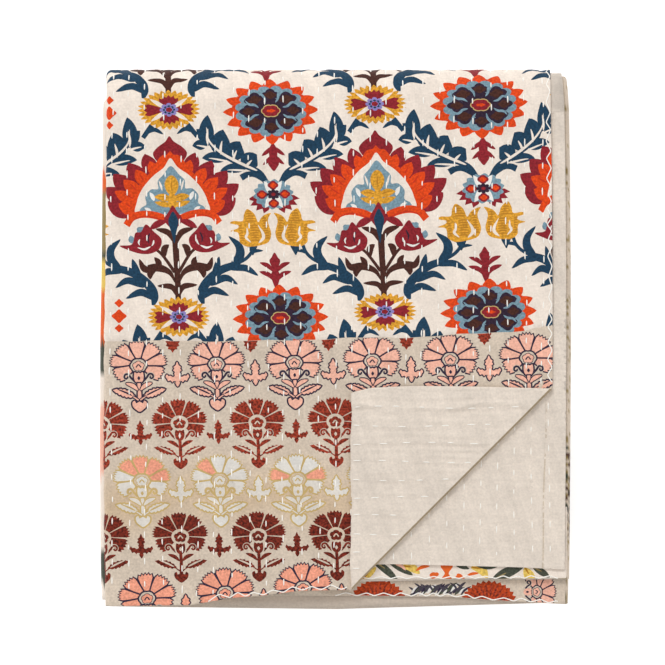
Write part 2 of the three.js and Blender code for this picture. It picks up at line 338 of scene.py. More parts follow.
def folded(w, length, offset):
    """Points of the folded cloth at w and length, offset from its middle towards the printed face."""
    w, length, offset = (np.asarray(v, float) for v in np.broadcast_arrays(w, length, offset))
    shape = w.shape
    w, length, offset = w.ravel(), length.ravel(), offset.ravel()
    y, z, ny, nz = length_line(length, w)
    x, h = section(w, reach_at(length, y), offset)
    rise = h - SLAB / 2
    return settle(np.stack([x, y + ny * rise, z + nz * rise], 1)).reshape(*shape, 3)


FOLD_SHARES = np.linspace(0, 1, 200)


def wide_fold_lengths():
    """Lengths along the outer face from the start of the wide fold, one for each of FOLD_SHARES."""
    y, z, ny, nz = length_line(1 + FOLD_SHARES * 0.99999, np.zeros_like(FOLD_SHARES))
    outer = line_of(y + ny * SLAB / 2, z + nz * SLAB / 2)
    steps = np.linalg.norm(np.diff(outer, axis=0), axis=1)
    return np.concatenate([[0], np.cumsum(steps)])


FOLD_LENGTHS = wide_fold_lengths()
FOLD_LENGTH = FOLD_LENGTHS[-1]
FOLD_END = TOP_CENTRE + FOLD_LENGTH  # flat y at which the wide fold ends


def layer_place(x, y, layer):
    """w and length of flat places x, y on a layer: the top layer, or another that shows."""
    w = np.zeros_like(x)
    length = np.zeros_like(x)
    for _ in range(3):
        if layer in ("top", "under"):
            first = lookup(ENDS, "w", w, "first")
            on_fold = np.interp(y - TOP_CENTRE, FOLD_LENGTHS, FOLD_SHARES)
            past = (y - TOP_CENTRE - FOLD_LENGTH) / (TOP_CENTRE - BOTTOM_CENTRE)
            length = np.where(y < TOP_CENTRE, (y - first) / (TOP_CENTRE - first), 1 + on_fold)
            length = np.where(past > 0, 2 + past, length)
            folded_y = np.where(past > 0, 2 * TOP_CENTRE + FOLD_LENGTH - y, np.minimum(y, TOP_CENTRE))
        elif layer == "fifth":
            last = lookup(ENDS, "w", w, "last")
            length = 6 + (INNER_CENTRE - y) / (INNER_CENTRE - last)
            folded_y = y
        else:
            first = lookup(ENDS, "w", w, "first")
            length = (y - first) / (TOP_CENTRE - first)
            folded_y = y
        length = np.clip(length, 0, 7)
        reach = reach_at(length, folded_y)
        left, right = reach["left_centre"], reach["right_centre"]
        if layer in ("top", "under"):
            flat = (reach["first_end"] - x) / (reach["first_end"] - left)
            w = np.where(x >= left, flat, 1 + (left - x) / (math.pi * (1.5 * PITCH + CLOTH / 2)))
        elif layer == "second":
            w = 6 + (x - left) / (reach["last_end"] - left)
        elif layer == "third":
            w = 4 + (right - x) / (right - left)
        else:
            w = 2 + (x - left) / (right - left)
        w = np.clip(w, 0, 7)
    return w, length


# Relief of the cloth


def wavy(x, y, size, turn):
    """A smooth uneven field from -1 to 1, the same on each run."""
    a = np.sin(2 * math.pi * (x + 0.37 * y) / size + turn)
    b = np.sin(2 * math.pi * (0.83 * y - 0.29 * x) / (size * 0.77) + 2.1 * turn)
    c = np.sin(2 * math.pi * (0.6 * x - 0.9 * y) / (size * 1.31) + 3.3 * turn)
    return (a + b * c) / 2


def stitch_line(number, y):
    """x of a stitch row at y."""
    straight = FIRST_ROW - STITCH_ROW * number
    return straight + 0.9 * np.sin(y / 61 + 1.7 * number) + 0.5 * np.sin(y / 23 + number)


def puckers(x, y):
    """Puffs between stitch rows, uneven along them."""
    number = np.clip(np.round((FIRST_ROW - x) / STITCH_ROW), 0, STITCH_ROWS - 1)
    away = x - stitch_line(number, y)
    trough = np.exp(-((away / 2.2) ** 2)) * (0.75 + 0.35 * np.sin(y / 3.1 + 2.4 * number))
    cross = 0.16 * np.sin(y / 3.6 + 1.9 * number + away / 4) + 0.12 * wavy(x, y, 34, 0.7)
    return cross - 0.56 * trough + 0.14 * wavy(x, y, 9, 2.2)


def seam_height(x, y):
    """Groove of the seam between the two printed panels, with a small ridge above it."""
    line = seam_line(x)
    return -0.55 * np.exp(-(((y - line) / 0.8) ** 2)) + 0.18 * np.exp(-(((y - line - 3) / 2) ** 2))


def rough_w(x):
    """w of places on the top layer, near enough for the table of ends."""
    return (FOLD_RIGHT[0] - x) / TOP_WIDTH


def seam_line(x):
    """y of the seam between the two printed panels."""
    w = np.clip(rough_w(x), 0, 1)
    return lookup(ENDS, "w", w, "seam") + 0.35 * np.sin(x / 11) + 0.2 * np.sin(x / 4.3)


def second_line(number, y):
    """x of a stitch row on the layer under the turned corner."""
    return SECOND_FIRST_ROW - STITCH_ROW * number + 0.7 * np.sin(y / 31 + number)


def second_relief(x, y):
    """Puckers and a hem line of the backing under the turned corner."""
    number = np.round((SECOND_FIRST_ROW - x) / STITCH_ROW)
    away = x - second_line(number, y)
    rows = 0.6 * np.exp(-((away / 1.6) ** 2)) * (0.75 + 0.3 * np.sin(y / 3.4 + number))
    hem = 0.5 * np.exp(-(((x - hem_line(y)) / 0.8) ** 2)) - 0.2 * np.exp(-(((x - hem_line(y) - 5) / 4) ** 2))
    patch = 0.6 + 0.4 * wavy(x, y, 47, 0.2)
    crinkles = 0.3 * np.sin(2 * math.pi * (y + 1.3 * wavy(x, 0.4 * y, 27, 0.5)) / 4.4) * patch
    return crinkles + 0.12 * wavy(x, y, 16, 1.4) - rows - hem


def hem_line(y):
    """x of the hem's inner line on the layer under the turned corner."""
    return 149.7 + 0.024 * (y + 40) + 0.35 * np.sin(y / 14)


def edge_drop(away):
    """How far the face rounds down at a distance from a bound edge."""
    near = np.clip(1 - away / ROUNDED, 0, 1)
    return EDGE_DROP * (1 - np.sqrt(1 - near**2))


def turned_fold(y):
    """x of the turned fold at y."""
    return FOLD_RIGHT[0] - (FOLD_RIGHT[1] - y)


def signed_area(outline):
    """Positive where an outline runs anticlockwise."""
    x, y = outline.T
    return np.sum(x * np.roll(y, -1) - np.roll(x, -1) * y) / 2


# Shapes of the print, drawn by rule. Each gives an outline as an array of points in millimetres.

STEP = 1.5  # spacing of points along an outline


def smooth(points, closed=False, step=STEP):
    """A rounded line through a few points."""
    p = np.asarray(points, float)
    before, after = ([p[-1]], [p[0], p[1]]) if closed else ([2 * p[0] - p[1]], [2 * p[-1] - p[-2]])
    line = np.vstack([*before, p, *after])
    out = []
    for i in range(1, len(line) - 2):
        a, b, c, d = line[i - 1 : i + 3]
        count = max(2, int(np.ceil(np.linalg.norm(c - b) / step)))
        t = np.arange(count)[:, None] / count
        square = 2 * a - 5 * b + 4 * c - d
        cube = 3 * b - a - 3 * c + d
        out.append(0.5 * (2 * b + (c - a) * t + square * t**2 + cube * t**3))
    if not closed:
        out.append(line[-2:-1])
    return np.vstack(out)


def ringed(rx, ry, lobes=0, depth=0.0, pointed=False, turn=0.0):
    """An oval with rounded or pointed petals round it."""
    count = max(12, int(2 * math.pi * max(rx, ry) / STEP), lobes * 8)
    angle = np.arange(count) / count * 2 * math.pi
    across = np.abs(2 * ((lobes * (angle - turn) / (2 * math.pi) + 0.5) % 1) - 1)
    size = 1 - depth * (0.8 * across + 0.2 * across**3 if pointed else across**2.6)
    return line_of(rx * size * np.cos(angle), ry * size * np.sin(angle))


def leaf(long, wide, bend=0.0, teeth=0, depth=0.0, fat=0.9):
    """A leaf or petal from the origin upwards, bent to the right by bend radians over its length."""
    count = max(6, int(long / STEP), teeth * 4)
    t = np.linspace(0, 1, count + 1)
    heading = bend * t
    at = np.cumsum(line_of(np.sin(heading), np.cos(heading)), axis=0) * long / count
    at -= at[0]
    half = wide / 2 * np.sin(math.pi * t**fat) ** 0.8
    if teeth:
        half = half * (1 - depth * ((t * teeth) % 1))
    side = line_of(np.cos(heading), -np.sin(heading))
    left = at - side * half[:, None]
    right = at + side * half[:, None]
    return np.vstack([left[:-1], right[:0:-1]])


def stroke(points, wide, tip, step=STEP):
    """A line of the brush through a few points, its width going from wide to tip."""
    line = smooth(points, step=step)
    t = np.linspace(0, 1, len(line))
    return widened(line, wide + (tip - wide) * t)


def blade(points, wide, belly=0.45, step=1.2):
    """A curved leaf through a few points, widest at belly and sharp at its end."""
    line = smooth(points, step=step)
    t = np.linspace(0, 1, len(line))
    power = math.log(0.5) / math.log(belly)
    return widened(line, 0.3 + wide * np.sin(math.pi * t**power) ** 0.75)


def widened(line, wide):
    """The outline of a line of varying width."""
    ahead = np.gradient(line, axis=0)
    side = line_of(-ahead[:, 1], ahead[:, 0]) / np.maximum(np.linalg.norm(ahead, axis=1), 1e-6)[:, None]
    half = (wide * np.ones(len(line)) / 2)[:, None]
    return np.vstack([line + side * half, (line - side * half)[::-1]])


def mirrored(points, step=STEP):
    """A rounded outline from its right half, given from bottom to top."""
    p = np.asarray(points, float)
    left = p[::-1] * [-1, 1]
    first = 1 if p[-1][0] == 0 else 0
    last = -1 if p[0][0] == 0 else None
    both = np.vstack([p, left[first:last]])
    return smooth(both, closed=True, step=step)


def wedge(inner, outer, start, stop, teeth, squash, bite):
    """A petal of a fan between two angles in degrees, with a rounded, toothed rim."""
    share = np.linspace(0, 1, 2 * teeth + 1)
    a = np.radians(start + (stop - start) * share)
    crown = 1 - 0.06 * (2 * share - 1) ** 4
    rim = outer * crown * (1 - bite * (np.arange(2 * teeth + 1) % 2 == 0))
    back = np.radians(np.linspace(stop, start, 4))
    angle = np.concatenate([a, back])
    radius = np.concatenate([rim, np.full(4, inner)])
    return line_of(radius * np.cos(angle), squash * radius * np.sin(angle))


class Print:
    """Shapes in painting order, each with its ink."""

    def __init__(self):
        self.shapes = []

    def add(self, ink, outline, at=(0, 0), turn=0.0, size=1.0, flip=1):
        """turn is in degrees anticlockwise, after a flip from left to right."""
        c, s = math.cos(math.radians(turn)), math.sin(math.radians(turn))
        p = outline * [flip * size, size]
        p = line_of(c * p[:, 0] - s * p[:, 1], s * p[:, 0] + c * p[:, 1]) + at
        self.shapes.append((ink, p))

    def pair(self, ink, outline, at=(0, 0), turn=0.0):
        """The shape and its mirror image to the left."""
        self.add(ink, outline, at, turn)
        self.add(ink, outline, (-at[0], at[1]), -turn, flip=-1)

    def put(self, other, at, slant=(0.0, 0.0)):
        """Copies another print to a place, slanted by small shares."""
        for ink, p in other.shapes:
            moved = p + line_of(slant[0] * p[:, 1], slant[1] * p[:, 0]) + at
            self.shapes.append((ink, moved))

    def put_pair(self, other, at, axis=(0, 0)):
        """Another print at a place right of an axis, and its mirror image to the left of it."""
        for flip in (1, -1):
            for ink, p in other.shapes:
                self.shapes.append((ink, (p + at) * [flip, 1] + axis))


# Motifs of the large floral panel


def spot(turn, away):
    """A place away from the middle, at turn degrees from straight up."""
    return (-away * math.sin(math.radians(turn)), away * math.cos(math.radians(turn)))


def rosette():
    m = Print()
    m.add("orange", ringed(35.0, 24.2, 16, 0.22, pointed=True))
    for i in range(16):
        angle = 2 * math.pi * (i + 0.5) / 16
        foot = (25.5 * math.cos(angle), 16.6 * math.sin(angle))
        m.add("dark_orange", leaf(3.6, 0.8), foot, math.degrees(angle) - 90)
    m.add("light_blue", ringed(26.2, 18.4, 16, 0.13, turn=0.2))
    m.add("dark", ringed(15.5, 10.0, 8, 0.22))
    for i in range(8):
        angle = math.pi * i / 4
        where = (16.3 * math.cos(angle), 11.3 * math.sin(angle))
        size, turn = (1.14, 6) if i % 2 else (1.0, 0)
        m.add("dark", ringed(7.0 * size, 5.0 * size, 4, 0.3, pointed=True), where, turn)
        m.add("brown", ringed(4.6 * size, 2.9 * size, 4, 0.24, pointed=True), where, turn)
    for i in range(8):
        angle = math.pi * (i + 0.5) / 4
        foot = (9.5 * math.cos(angle), 6.4 * math.sin(angle))
        vein = blade([(0, 0), (0.7, 3.5), (-0.3, 7.5), (1.2, 11)], 1.5)
        m.add("light_blue", vein, foot, math.degrees(angle) - 90)
    m.add("gold_line", ringed(7.2, 4.7, 6, 0.12))
    m.add("crimson", ringed(6.4, 4.0, 6, 0.12))
    m.add("orange", ringed(3.4, 1.2, 5, 0.3))
    return m


def fringed_flower():
    m = Print()
    m.add("mustard", ringed(22.3, 14.3, 28, 0.17, pointed=True))
    for turn in (31, 149, 211, 329):
        m.add("cream", leaf(15.6, 3.0), (0, 0), turn - 90)
    m.pair("crimson", wedge(3, 17.8, -17, 17, 3, 1.0, 0.12))
    for turn in (0, 180):
        m.add("crimson", wedge(3, 11.8, 44, 136, 5, 0.9, 0.17), turn=turn)
    for turn in (36, 144, 216, 324):
        m.add("cream", leaf(10.5, 1.6), (0, 0), turn - 90)
    m.pair("navy", stroke([(19.2, -19.4), (16.2, -15.4), (12.6, -10.8)], 3.2, 3.8, step=1.0))
    m.pair("navy", blade([(17.0, -16.6), (11.0, -13.8), (4.8, -17.2)], 2.8, 0.5))
    m.add("lilac", ringed(6.6, 4.8, 8, 0.26))
    m.add("navy", ringed(4.4, 3.2, 8, 0.36))
    m.add("lilac", ringed(3.0, 2.2, 6, 0.2))
    m.add("crimson", ringed(2.4, 1.8, 5, 0.2))
    return m


def aim(row):
    """Foot, tip, length and heading in radians of a petal that a table gives by its foot and tip."""
    foot, tip = np.array(row["foot"], float), np.array(row["tip"], float)
    return foot, tip, np.linalg.norm(tip - foot), math.atan2(tip[0] - foot[0], tip[1] - foot[1])


# Flames round the medallion's arch: foot, tip, how wide, and the length of a second point as a share
FLAMES = [
    {"foot": (23, 2), "tip": (46.4, 7.6), "wide": 14.5, "spur": 0.0},
    {"foot": (24, 9), "tip": (49.4, 17.4), "wide": 12.0, "spur": 0.0},
    {"foot": (21, 14), "tip": (41.6, 27.2), "wide": 13.0, "spur": 0.8},
    {"foot": (16, 20), "tip": (31.0, 35.2), "wide": 12.6, "spur": 0.8},
    {"foot": (9, 26), "tip": (19.2, 41.6), "wide": 11.0, "spur": 0.7},
]


def medallion():
    """Flame petals round a cream arch, its base at the origin."""
    m = Print()
    for row in FLAMES:
        foot, _, long, heading = aim(row)
        turn = -math.degrees(heading)
        m.pair("crimson", leaf(long, row["wide"], bend=-0.6, fat=1.1), foot, turn - 14)
        if row["spur"]:
            spur = leaf(long * row["spur"], row["wide"] * 0.5, bend=0.5)
            m.pair("crimson", spur, foot + (2.5, -2.0), turn - 18)
    for row in FLAMES:
        foot, _, long, heading = aim(row)
        turn = -math.degrees(heading)
        m.pair("orange", leaf(long * 0.66, row["wide"] * 0.7, bend=-0.4, fat=0.95), foot, turn - 6)
        m.pair("dark_orange", leaf(long * 0.4, 1.0, bend=-0.2), foot + (2.0, 1.0), turn + 8)
    crown = [(0, 30), (6.5, 34), (10.6, 38), (12.0, 42.4), (8.5, 46.6), (3, 50.4), (0, 54.2)]
    m.add("crimson", mirrored(crown))
    m.add("orange", mirrored([(0, 32), (15, 27), (9.5, 36.5), (6.0, 40.5), (2.5, 41), (0, 43.5)]))
    m.add("orange", mirrored([(0, 0), (28.6, -1), (28.2, 9), (23.5, 19), (15, 28.5), (6.5, 35.5), (0, 40)]))
    m.add("cream", mirrored([(0, -1), (24.6, -1), (25.0, 8), (20.6, 17.5), (13, 26), (5, 32), (0, 38.5)]))
    half = [(0, -1), (21.8, -1.2), (22.6, 3.4), (18.4, 6.4), (18.8, 12)]
    half += [(14.6, 16.8), (9.6, 17), (9.6, 22.6), (5.5, 27), (0, 33)]
    m.add("light_blue", mirrored(half))
    m.pair("white", leaf(7, 3.0, bend=0.5), (12.8, 8.5), -8)
    m.pair("white", leaf(6, 2.6, bend=0.4), (15.0, 0.5), -42)
    m.pair("cream", leaf(8, 1.5, bend=0.3), (6.8, 15.5), -6)
    m.add("mustard", mirrored([(0, 12), (3.6, 15), (5.0, 20.0), (3.2, 24.5), (0, 26.5)]))
    m.pair("mustard", leaf(12.5, 5.4, bend=0.45), (0.5, 9), -64)
    m.pair("mustard", leaf(13.0, 4.0, bend=-0.25), (0, 5.2), -86)
    m.pair("ochre", leaf(8.0, 0.9, bend=0.4), (2.0, 10), -64)
    m.add("mustard", mirrored([(0, 2), (3, 5), (2.4, 12), (0, 14)]))
    m.add("ochre", leaf(6.5, 1.2), (0, 16))
    m.pair("orange", stroke([(3, -5.5), (12, -1.8), (21, -0.6), (28.6, -2.6), (33.0, -8.0)], 5.2, 5.0))
    m.pair("dark_orange", stroke([(9, -4.6), (15, -2.6), (22, -2.2), (28.5, -4.8)], 0.8, 0.6))
    m.pair("crimson", blade([(4, -5.8), (10, -7.2), (16.8, -11.2)], 4.6, 0.55))
    m.add("crimson", mirrored([(0, -12), (4, -9), (6.4, -4.5), (3, 0.8), (0, 5)]))
    m.add("navy", mirrored([(0, -22), (1.5, -15), (3.6, -7), (2.4, -2.5), (0, 0.8)]))
    return m


def blue_flower():
    m = Print()
    for angles in ((-76, -4), (184, 256)):
        m.add("crimson", wedge(8, 20.0, *angles, 4, 0.74, 0.2))
    m.add("light_blue", ringed(15.0, 10.8, 14, 0.15, turn=0.13, pointed=True))
    for turn in (55, 125, 235, 305):
        m.add("white", leaf(8.5, 3.8, fat=0.65), (0, 0), turn - 90, 1.36)
    for turn, away in ((0, 6.4), (90, 8.4), (180, 6.4), (270, 8.4)):
        m.add("crimson", ringed(3.9, 3.1, 4, 0.16), spot(turn, away))
        m.add("orange", ringed(2.4, 1.9, 4, 0.2), spot(turn, away))
    m.add("dark", ringed(5.0, 3.6, 8, 0.24))
    m.add("crimson", ringed(1.6, 1.2))
    return m


# Stripes of a tulip: the middle and half length of the lowest, how both change upwards, and their span
TULIP_STRIPES = [
    {"x": -2.2, "half": 3.4, "lean": 0.0, "narrow": 0.0, "low": 4.6, "high": 16.5},
    {"x": 0.2, "half": 4.4, "lean": 0.16, "narrow": -0.42, "low": 18.2, "high": 25.5},
    {"x": -11.4, "half": 2.0, "lean": 0.14, "narrow": -0.02, "low": 6.0, "high": 21.0},
    {"x": 6.8, "half": 1.6, "lean": 0.14, "narrow": -0.02, "low": 4.6, "high": 15.5},
]


def tulip():
    """One flower, its pointed petal to the right, its foot at the origin."""
    m = Print()
    m.add("navy", mirrored([(0, -6), (1.6, -3.5), (3.6, 0.6), (1.2, 1.6), (0, 1)], step=1.0))
    cup = [(0, 0.4), (4.7, 0.6), (8.9, 3.6), (9.3, 7.4), (10.4, 10.6), (15.5, 11.7), (10.4, 13.4)]
    cup += [(9.4, 15.6), (15.5, 17.2), (13.0, 18.8), (6.4, 18.6), (5.2, 22.9), (3.0, 26.8), (0.2, 25.9)]
    cup += [(-2.8, 22.9), (-5.0, 17.6), (-7.2, 20.4), (-10.0, 22.6), (-14.6, 23.9), (-12.8, 20.8)]
    cup += [(-12.2, 17.8), (-13.2, 13.8), (-14.2, 9.6), (-13.2, 5.2), (-10.8, 2.6), (-5.2, 1.0)]
    m.add("mustard", smooth(cup, True, step=1.0))
    for row in TULIP_STRIPES:
        for y in np.arange(row["low"], row["high"], 1.75):
            x = row["x"] + row["lean"] * (y - row["low"])
            half = row["half"] + row["narrow"] * (y - row["low"])
            m.add("ochre", blade([(x - half, y), (x, y + 0.35), (x + half, y)], 0.85, 0.5, step=1.6))
    m.add("cream", blade([(-4.8, 15.5), (-8.0, 9.8), (-8.2, 6.2), (-4.8, 2.8)], 2.0, 0.6))
    m.add("cream", blade([(3.4, 13.8), (3.2, 9.5), (4.4, 7.0), (1.0, 3.4)], 1.6, 0.5))
    return m


def crimson_bud():
    """A tulip bud seen from the side, leaning to the right, its foot at the origin."""
    m = Print()
    m.add("light_blue", leaf(6.0, 4.5), (16.5, 5.8), -10)
    m.add("light_blue", ringed(3.2, 2.6, 4, 0.18, turn=math.pi / 4), (10.2, 15.2))
    cup = [(0, 0), (6.2, -1.8), (14.5, -0.6), (25.5, 4.4), (17.0, 5.4), (14.2, 13.2)]
    cup += [(10.2, 14.0), (6.4, 19.2), (1.2, 14.0), (-3.8, 8.8), (-3.2, 3.4)]
    m.add("crimson", smooth(cup, True, step=1.0))
    for line, wide in (
        ([(4.0, 3.4), (8.5, 1.6), (13.0, 3.0)], 1.2),
        ([(1.5, 8.0), (2.0, 5.5), (3.2, 3.8)], 0.9),
        ([(11.2, 8.8), (12.2, 6.6), (11.6, 4.6)], 0.9),
    ):
        m.add("white", blade(line, wide))
    m.add("dark", blade([(4.0, 13.0), (5.6, 9.0), (5.0, 5.5)], 0.9))
    return m


def sprig(up):
    """A crimson spear with barbs that lean towards its tip or away from it."""
    m = Print()
    if up:
        half = [(0, -2), (1.6, 1), (3.4, 7.5), (2.1, 12), (4.0, 18), (2.4, 20.5), (0, 24)]
        m.add("crimson", mirrored(half, step=1.0))
        m.pair("crimson", blade([(1.0, 3.6), (4.8, 8.2), (11.6, 10.6)], 3.2, 0.5))
        m.pair("crimson", blade([(1.4, 10.4), (5.2, 14.6), (11.0, 17.0)], 3.0, 0.5))
    else:
        half = [(0, -20.5), (2.4, -18), (4.0, -15), (3.0, -10.5), (3.2, -5.5), (1.4, -2), (0, 0)]
        m.add("crimson", mirrored(half, step=1.0))
        m.pair("crimson", blade([(1.0, -3.4), (4.4, -6.6), (8.4, -9.4)], 2.6, 0.45))
        m.pair("crimson", blade([(1.0, -9.6), (4.4, -13.2), (7.8, -15.8)], 2.6, 0.45))
    return m


# Lobes of a spray: foot and tip of each, how wide, and how it bends
SPRAY_LOBES = [
    {"foot": (14.5, 11.5), "tip": (6.5, 21.5), "wide": 13.5, "bend": -0.5},
    {"foot": (23.5, 16.0), "tip": (18.5, 31.0), "wide": 14.8, "bend": -0.5},
    {"foot": (32.0, 21.0), "tip": (30.5, 39.5), "wide": 14.2, "bend": -0.4},
    {"foot": (41.0, 28.0), "tip": (41.0, 50.0), "wide": 10.8, "bend": -0.3},
    {"foot": (43.0, 30.0), "tip": (49.0, 40.5), "wide": 7.0, "bend": 0.4},
    {"foot": (42.0, 27.5), "tip": (53.0, 28.8), "wide": 7.5, "bend": 0.5},
    {"foot": (29.0, 17.5), "tip": (46.5, 19.8), "wide": 8.0, "bend": 0.4},
    {"foot": (15.0, 10.5), "tip": (34.0, 10.3), "wide": 7.0, "bend": 0.4},
]


def leaf_spray():
    """A large lobed leaf, rising to the right from the origin."""
    m = Print()
    m.add("navy", stroke([(0, 0), (5.7, 8.4), (19.0, 14.5), (33.0, 22.5), (42.5, 33)], 4.4, 3.0))
    m.add("navy", stroke([(1.0, 2.0), (8.5, 6.6), (14.0, 6.8), (18.6, 4.6)], 3.2, 4.6))
    for row in SPRAY_LOBES:
        foot, _, long, heading = aim(row)
        shape = leaf(long, row["wide"], 1.6 * row["bend"], fat=0.82)
        m.add("navy", shape, foot, -math.degrees(heading - 0.8 * row["bend"]))
    m.add("cream", blade([(6.5, 9.4), (19.0, 15.2), (32.5, 23.0), (40.5, 31.5), (42.0, 41.0)], 1.7, 0.3))
    for row in SPRAY_LOBES[:4]:
        foot, tip, *_ = aim(row)
        middle = foot + (tip - foot) * 0.55
        m.add("cream", blade([foot + (0.5, 0.5), (foot + middle) / 2 + (0.8, 0), middle], 1.5, 0.4))
    for row in SPRAY_LOBES[5:]:
        foot, tip, *_ = aim(row)
        m.add("cream", blade([foot - (1.5, 1.0), (foot + tip) / 2, foot + (tip - foot) * 0.7], 1.1, 0.3))
    return m


def navy_scroll():
    """The curling stem on the right of a fringed flower, up to the tulips."""
    m = Print()
    stem = [(17.8, 8.6), (16.6, 15.0), (19.6, 22.0), (26.0, 28.6), (33.0, 32.8), (40.0, 35.0), (45.6, 37.2)]
    line = smooth(stem)
    share = np.linspace(0, 1, len(line))
    m.add("navy", widened(line, np.interp(share, [0, 0.1, 0.25, 1], [2.2, 5.2, 6.8, 5.0])))
    m.add("navy", blade([(39.5, 35.0), (45.6, 41.5), (45.4, 48.8), (38.4, 56.0)], 6.4, 0.35))
    for line, wide in (
        ([(17.0, 12.5), (25.5, 18.0), (36.6, 14.0)], 5.0),
        ([(23.0, 21.5), (34.4, 26.6), (43.4, 21.8)], 4.8),
        ([(37.5, 32.8), (49.2, 33.2), (58.6, 27.6)], 4.6),
        ([(25.6, 26.6), (28.6, 33.6), (30.8, 41.8)], 4.8),
    ):
        m.add("navy", blade(line, wide))
    m.add("navy", stroke([(44.0, 36.5), (50.4, 40.0), (54.6, 44.4), (56.4, 49.0)], 2.4, 2.6))
    m.add("navy", blade([(52.0, 42.0), (57.0, 45.0), (63.0, 45.2)], 2.2, 0.5))
    return m


def brown_plant():
    """The plant between a fringed flower and the medallion above it."""
    m = Print()
    m.add("brown", stroke([(0, 10), (0.3, 25), (0.1, 42), (0, 58)], 4.0, 4.6))
    for line, wide, belly in (
        ([(0.8, 14.5), (4.1, 21.2), (14.2, 22.3)], 3.8, 0.5),
        ([(0.8, 22.5), (5.0, 31.4), (13.5, 35.2), (22.5, 34.6), (26.0, 41.6)], 5.6, 0.62),
        ([(13.4, 33.0), (12.6, 38.5), (15.4, 42.6)], 4.2, 0.45),
        ([(14.0, 34.0), (18.6, 31.5), (19.0, 27.0)], 4.4, 0.55),
    ):
        m.pair("brown", blade(line, wide, belly))
    m.pair("brown", stroke([(1.5, 31.5), (6.1, 38.9), (10.5, 45.0), (14.5, 48.5)], 2.4, 2.0))
    m.pair("brown", blade([(8.0, 42.0), (8.0, 48.2), (4.6, 51.2)], 4.6, 0.55))
    m.pair("brown", blade([(1.0, 52.5), (4.6, 59.6), (13.5, 62.6)], 4.0, 0.5))
    m.put_pair(crimson_bud(), (13.7, 46.8))
    return m


def diamonds():
    """Three small diamonds in a column."""
    m = Print()
    rhombus = mirrored([(0, -4.4), (2.4, -2.3), (4.7, 0), (2.3, 2.2), (0, 4.2)], step=1.0)
    for y, size in ((9.2, 0.7), (0, 1.14), (-8.6, 0.66)):
        m.add("orange", rhombus, (0, y), 0, size)
    return m


# The repeat of the large print: steps across and up, and where the first rosette lies
FLORAL_ACROSS = (148.7, 4.2)
FLORAL_UP = (-7.1, 146.6)
FLORAL_START = (-38.6, 13.9)
FLORAL_SLANT = (-0.048, 0.028)


def floral_unit(with_rosette=True):
    """One repeat of the large print round a rosette, with the fringed flower half a repeat to its left."""
    m = Print()
    flower = (-73.4, 2.8)
    m.put_pair(leaf_spray(), (5.2, 0), (-0.2, 95.2))
    m.put_pair(navy_scroll(), (0, 0), flower)
    m.put(brown_plant(), flower)
    m.put(medallion(), (flower[0] - 0.8, flower[1] + 73.8))
    m.put(fringed_flower(), flower)
    m.put(sprig(True), (-2.2, 22.6))
    m.put(sprig(False), (0.2, 124.4))
    if with_rosette:
        m.put(rosette(), (0, 0))
    m.put_pair(tulip(), (15.7, 0.3), (-2.4, 50.4))
    m.put(blue_flower(), (-1.0, 87.6))
    return m


# Motifs of the carnation band


def grown(outline, by):
    """The outline moved outwards."""
    ahead = np.roll(outline, -1, axis=0) - np.roll(outline, 1, axis=0)
    side = line_of(-ahead[:, 1], ahead[:, 0]) / np.maximum(np.linalg.norm(ahead, axis=1), 1e-6)[:, None]
    return outline - side * by * np.sign(signed_area(outline))


BAND_GROUND = "greige"
# Angles in degrees between which the petals of a carnation lie, and their reach
PETALS = [
    {"start": -50, "stop": -5, "reach": 19.0},
    {"start": -5, "stop": 31, "reach": 20.3},
    {"start": 31, "stop": 72, "reach": 20.2},
    {"start": 72, "stop": 113, "reach": 19.8},
    {"start": 113, "stop": 151, "reach": 20.2},
    {"start": 151, "stop": 186, "reach": 20.3},
    {"start": 186, "stop": 232, "reach": 19.0},
]


